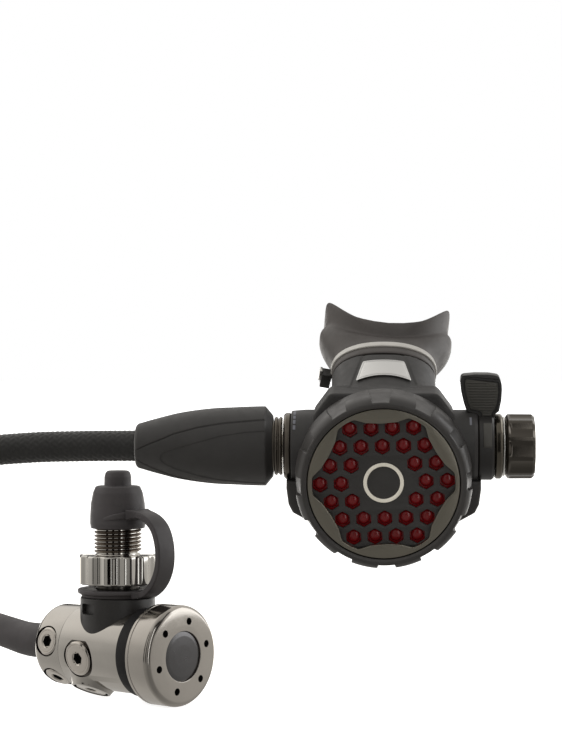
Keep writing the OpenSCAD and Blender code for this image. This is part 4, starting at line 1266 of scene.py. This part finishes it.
def plane_card(name, az, width, dist, z0, z1, strength, center=(-0.06, 0.03), color=(1, 1, 1)):
    """Upright card around the set, seen only in reflections. az: degrees from -Y towards +X; width in degrees."""
    h = dist * math.tan(RAD(width / 2))
    ver = [(-h, 0, z0), (h, 0, z0), (h, 0, z1), (-h, 0, z1)]
    a = RAD(az)
    M = Matrix.Translation((center[0] + dist * math.sin(a), center[1] - dist * math.cos(a), 0)) @ Matrix.Rotation(a, 4, "Z")
    me = bpy.data.meshes.new(name)
    me.from_pydata([M @ Vector(v) for v in ver], [], [(0, 1, 2, 3)])
    ob = bpy.data.objects.new(name, me)
    COL.objects.link(ob)
    me.materials.append(glow(name, strength, color))
    only_glossy(ob)
    return ob


def only_glossy(ob):
    ob.visible_camera = False
    ob.visible_diffuse = False
    ob.visible_shadow = False
    ob.visible_transmission = False


def glow(name, strength, color=(1, 1, 1)):
    m = bpy.data.materials.new(name)
    m.use_nodes = True
    t = m.node_tree
    t.nodes.clear()
    e = t.nodes.new("ShaderNodeEmission")
    e.inputs["Color"].default_value = (*color, 1)
    e.inputs["Strength"].default_value = strength
    o = t.nodes.new("ShaderNodeOutputMaterial")
    t.links.new(e.outputs[0], o.inputs[0])
    return m


def make_dome():
    """Soft studio around the set: pale behind and above, darker in front. It lights and is reflected, but isn't seen."""
    bm = bmesh.new()
    bmesh.ops.create_uvsphere(bm, u_segments=64, v_segments=32, radius=1)
    me = bpy.data.meshes.new("dome")
    bm.to_mesh(me)
    bm.free()
    ob = bpy.data.objects.new("dome", me)
    ob.scale = (4, 4, 4)
    ob.location = (0, 0, 0.1)
    COL.objects.link(ob)
    m = bpy.data.materials.new("dome")
    m.use_nodes = True
    t = m.node_tree
    t.nodes.clear()
    tc = t.nodes.new("ShaderNodeTexCoord")
    sp = t.nodes.new("ShaderNodeSeparateXYZ")
    t.links.new(tc.outputs["Object"], sp.inputs[0])

    def ramp(src, stops, lo=-1.0, hi=1.0):
        mr = t.nodes.new("ShaderNodeMapRange")
        mr.inputs["From Min"].default_value = lo
        mr.inputs["From Max"].default_value = hi
        t.links.new(src, mr.inputs["Value"])
        r = t.nodes.new("ShaderNodeValToRGB")
        r.color_ramp.interpolation = "EASE"
        e = r.color_ramp.elements
        while len(e) < len(stops):
            e.new(0.5)
        for el, (q, c) in zip(e, stops):
            el.position = (q - lo) / (hi - lo)
            el.color = (c, c, c, 1)
        t.links.new(mr.outputs["Result"], r.inputs["Fac"])
        return r.outputs["Color"]

    def mul(a, b):
        n = t.nodes.new("ShaderNodeMath")
        n.operation = "MULTIPLY"
        t.links.new(a, n.inputs[0])
        t.links.new(b, n.inputs[1])
        return n.outputs[0]

    def op(kind, a, b):
        n = t.nodes.new("ShaderNodeMath")
        n.operation = kind
        for i, x in enumerate((a, b)):
            if isinstance(x, (int, float)):
                n.inputs[i].default_value = x
            else:
                t.links.new(x, n.inputs[i])
        return n.outputs[0]

    X, Y, Z = sp.outputs["X"], sp.outputs["Y"], sp.outputs["Z"]
    fz = ramp(Z, [(-1.0, 0.26), (-0.6, 0.27), (-0.15, 0.30), (0.15, 0.36), (0.5, 0.5), (0.85, 0.5), (1.0, 0.4)])
    fy = ramp(Y, [(-1.0, 0.5), (-0.45, 0.58), (-0.1, 0.75), (0.4, 1.0), (1.0, 1.0)])
    fx = ramp(X, [(-1.0, 0.95), (-0.5, 0.9), (0.2, 0.65), (0.75, 0.65), (1.0, 0.9)])
    # a black flag behind on the left, just above the horizon
    ga = ramp(Y, [(0.25, 0.0), (0.6, 0.95)])
    gb = ramp(Z, [(0.0, 0.0), (0.05, 1.0), (0.2, 1.0), (0.45, 0.0)])
    gc = ramp(X, [(-0.9, 1.0), (-0.08, 1.0), (0.03, 0.0)])
    flag = op("SUBTRACT", 1.0, mul(mul(ga, gb), gc))
    # a bright strip of backdrop at the horizon
    back = op("MULTIPLY", mul(ramp(Y, [(0.6, 0.0), (0.9, 1.0)]), ramp(Z, [(-0.3, 0.0), (-0.15, 1.0), (0.03, 1.0), (0.12, 0.0)])), 2.0)
    st = op("ADD", mul(op("MULTIPLY", mul(mul(fz, fy), fx), DOME), flag), back)
    e = t.nodes.new("ShaderNodeEmission")
    e.inputs["Color"].default_value = (1.0, 0.972, 0.93, 1)
    t.links.new(st, e.inputs["Strength"])
    o = t.nodes.new("ShaderNodeOutputMaterial")
    t.links.new(e.outputs[0], o.inputs[0])
    me.materials.append(m)
    ob.visible_camera = False
    ob.visible_shadow = False
    return ob


DOME = 2.5


def floor_plane(name, z, mat, s=8):
    me = bpy.data.meshes.new(name)
    me.from_pydata([(-s, -s, z), (s, -s, z), (s, s, z), (-s, s, z)], [], [(0, 1, 2, 3)])
    ob = bpy.data.objects.new(name, me)
    COL.objects.link(ob)
    me.materials.append(mat)
    return ob


def make_stage():
    # floor that the camera sees: pale, with a soft contact shadow
    m = Mat("floor_white", (0.9, 0.9, 0.9), 0.7, spec=0.0)
    m.b.inputs["Emission Color"].default_value = (1, 1, 1, 1)
    m.b.inputs["Emission Strength"].default_value = 0.80
    f = floor_plane("floor", 0.0, m.m, 60)
    f.visible_glossy = False
    f.visible_diffuse = False
    f.visible_shadow = False
    g = Mat("floor_bounce", (0.45, 0.435, 0.41), 0.7, spec=0.0)
    f2 = floor_plane("floor_bounce", -0.0006, g.m, 3.9)
    f2.visible_camera = False
    f2.visible_glossy = False
    f2.visible_shadow = False
    w = bpy.data.worlds.new("world")
    bpy.context.scene.world = w
    w.use_nodes = True
    w.node_tree.nodes["Background"].inputs["Color"].default_value = (1, 1, 1, 1)
    w.node_tree.nodes["Background"].inputs["Strength"].default_value = 1.0
    make_dome()
    for az, wd, d, z0, z1, st in ((-52, 13, 0.75, -0.1, 0.9, 0.0), (-18, 12, 0.75, -0.1, 0.9, 0.0), (13, 9, 0.75, -0.1, 0.9, 0.0), (27, 6, 0.75, -0.1, 0.9, 2.0),
                                  (48, 12, 0.75, -0.1, 0.9, 0.0), (104, 40, 0.6, 0.05, 0.6, 2.2)):
        plane_card("card.%d" % (az + 90), az, wd, d, z0, z1, st)
    for name, loc, to, w, h, e in (("key", (-0.25, -0.75, 1.5), (0, -0.05, 0.1), 1.1, 0.8, 3), ("fill", (0.2, -1.5, 0.35), (0, 0, 0.12), 1.0, 0.8, 1.6),
                                   ("left", (-1.1, -0.35, 0.55), (0, 0, 0.12), 0.45, 0.9, 6), ("right", (1.15, -0.15, 0.35), (0, 0, 0.12), 0.45, 0.9, 3)):
        area(name, loc, to, w, e, h, (1.0, 0.975, 0.94)).visible_glossy = False
    bpy.context.scene.view_settings.view_transform = "Standard"


make_stage()
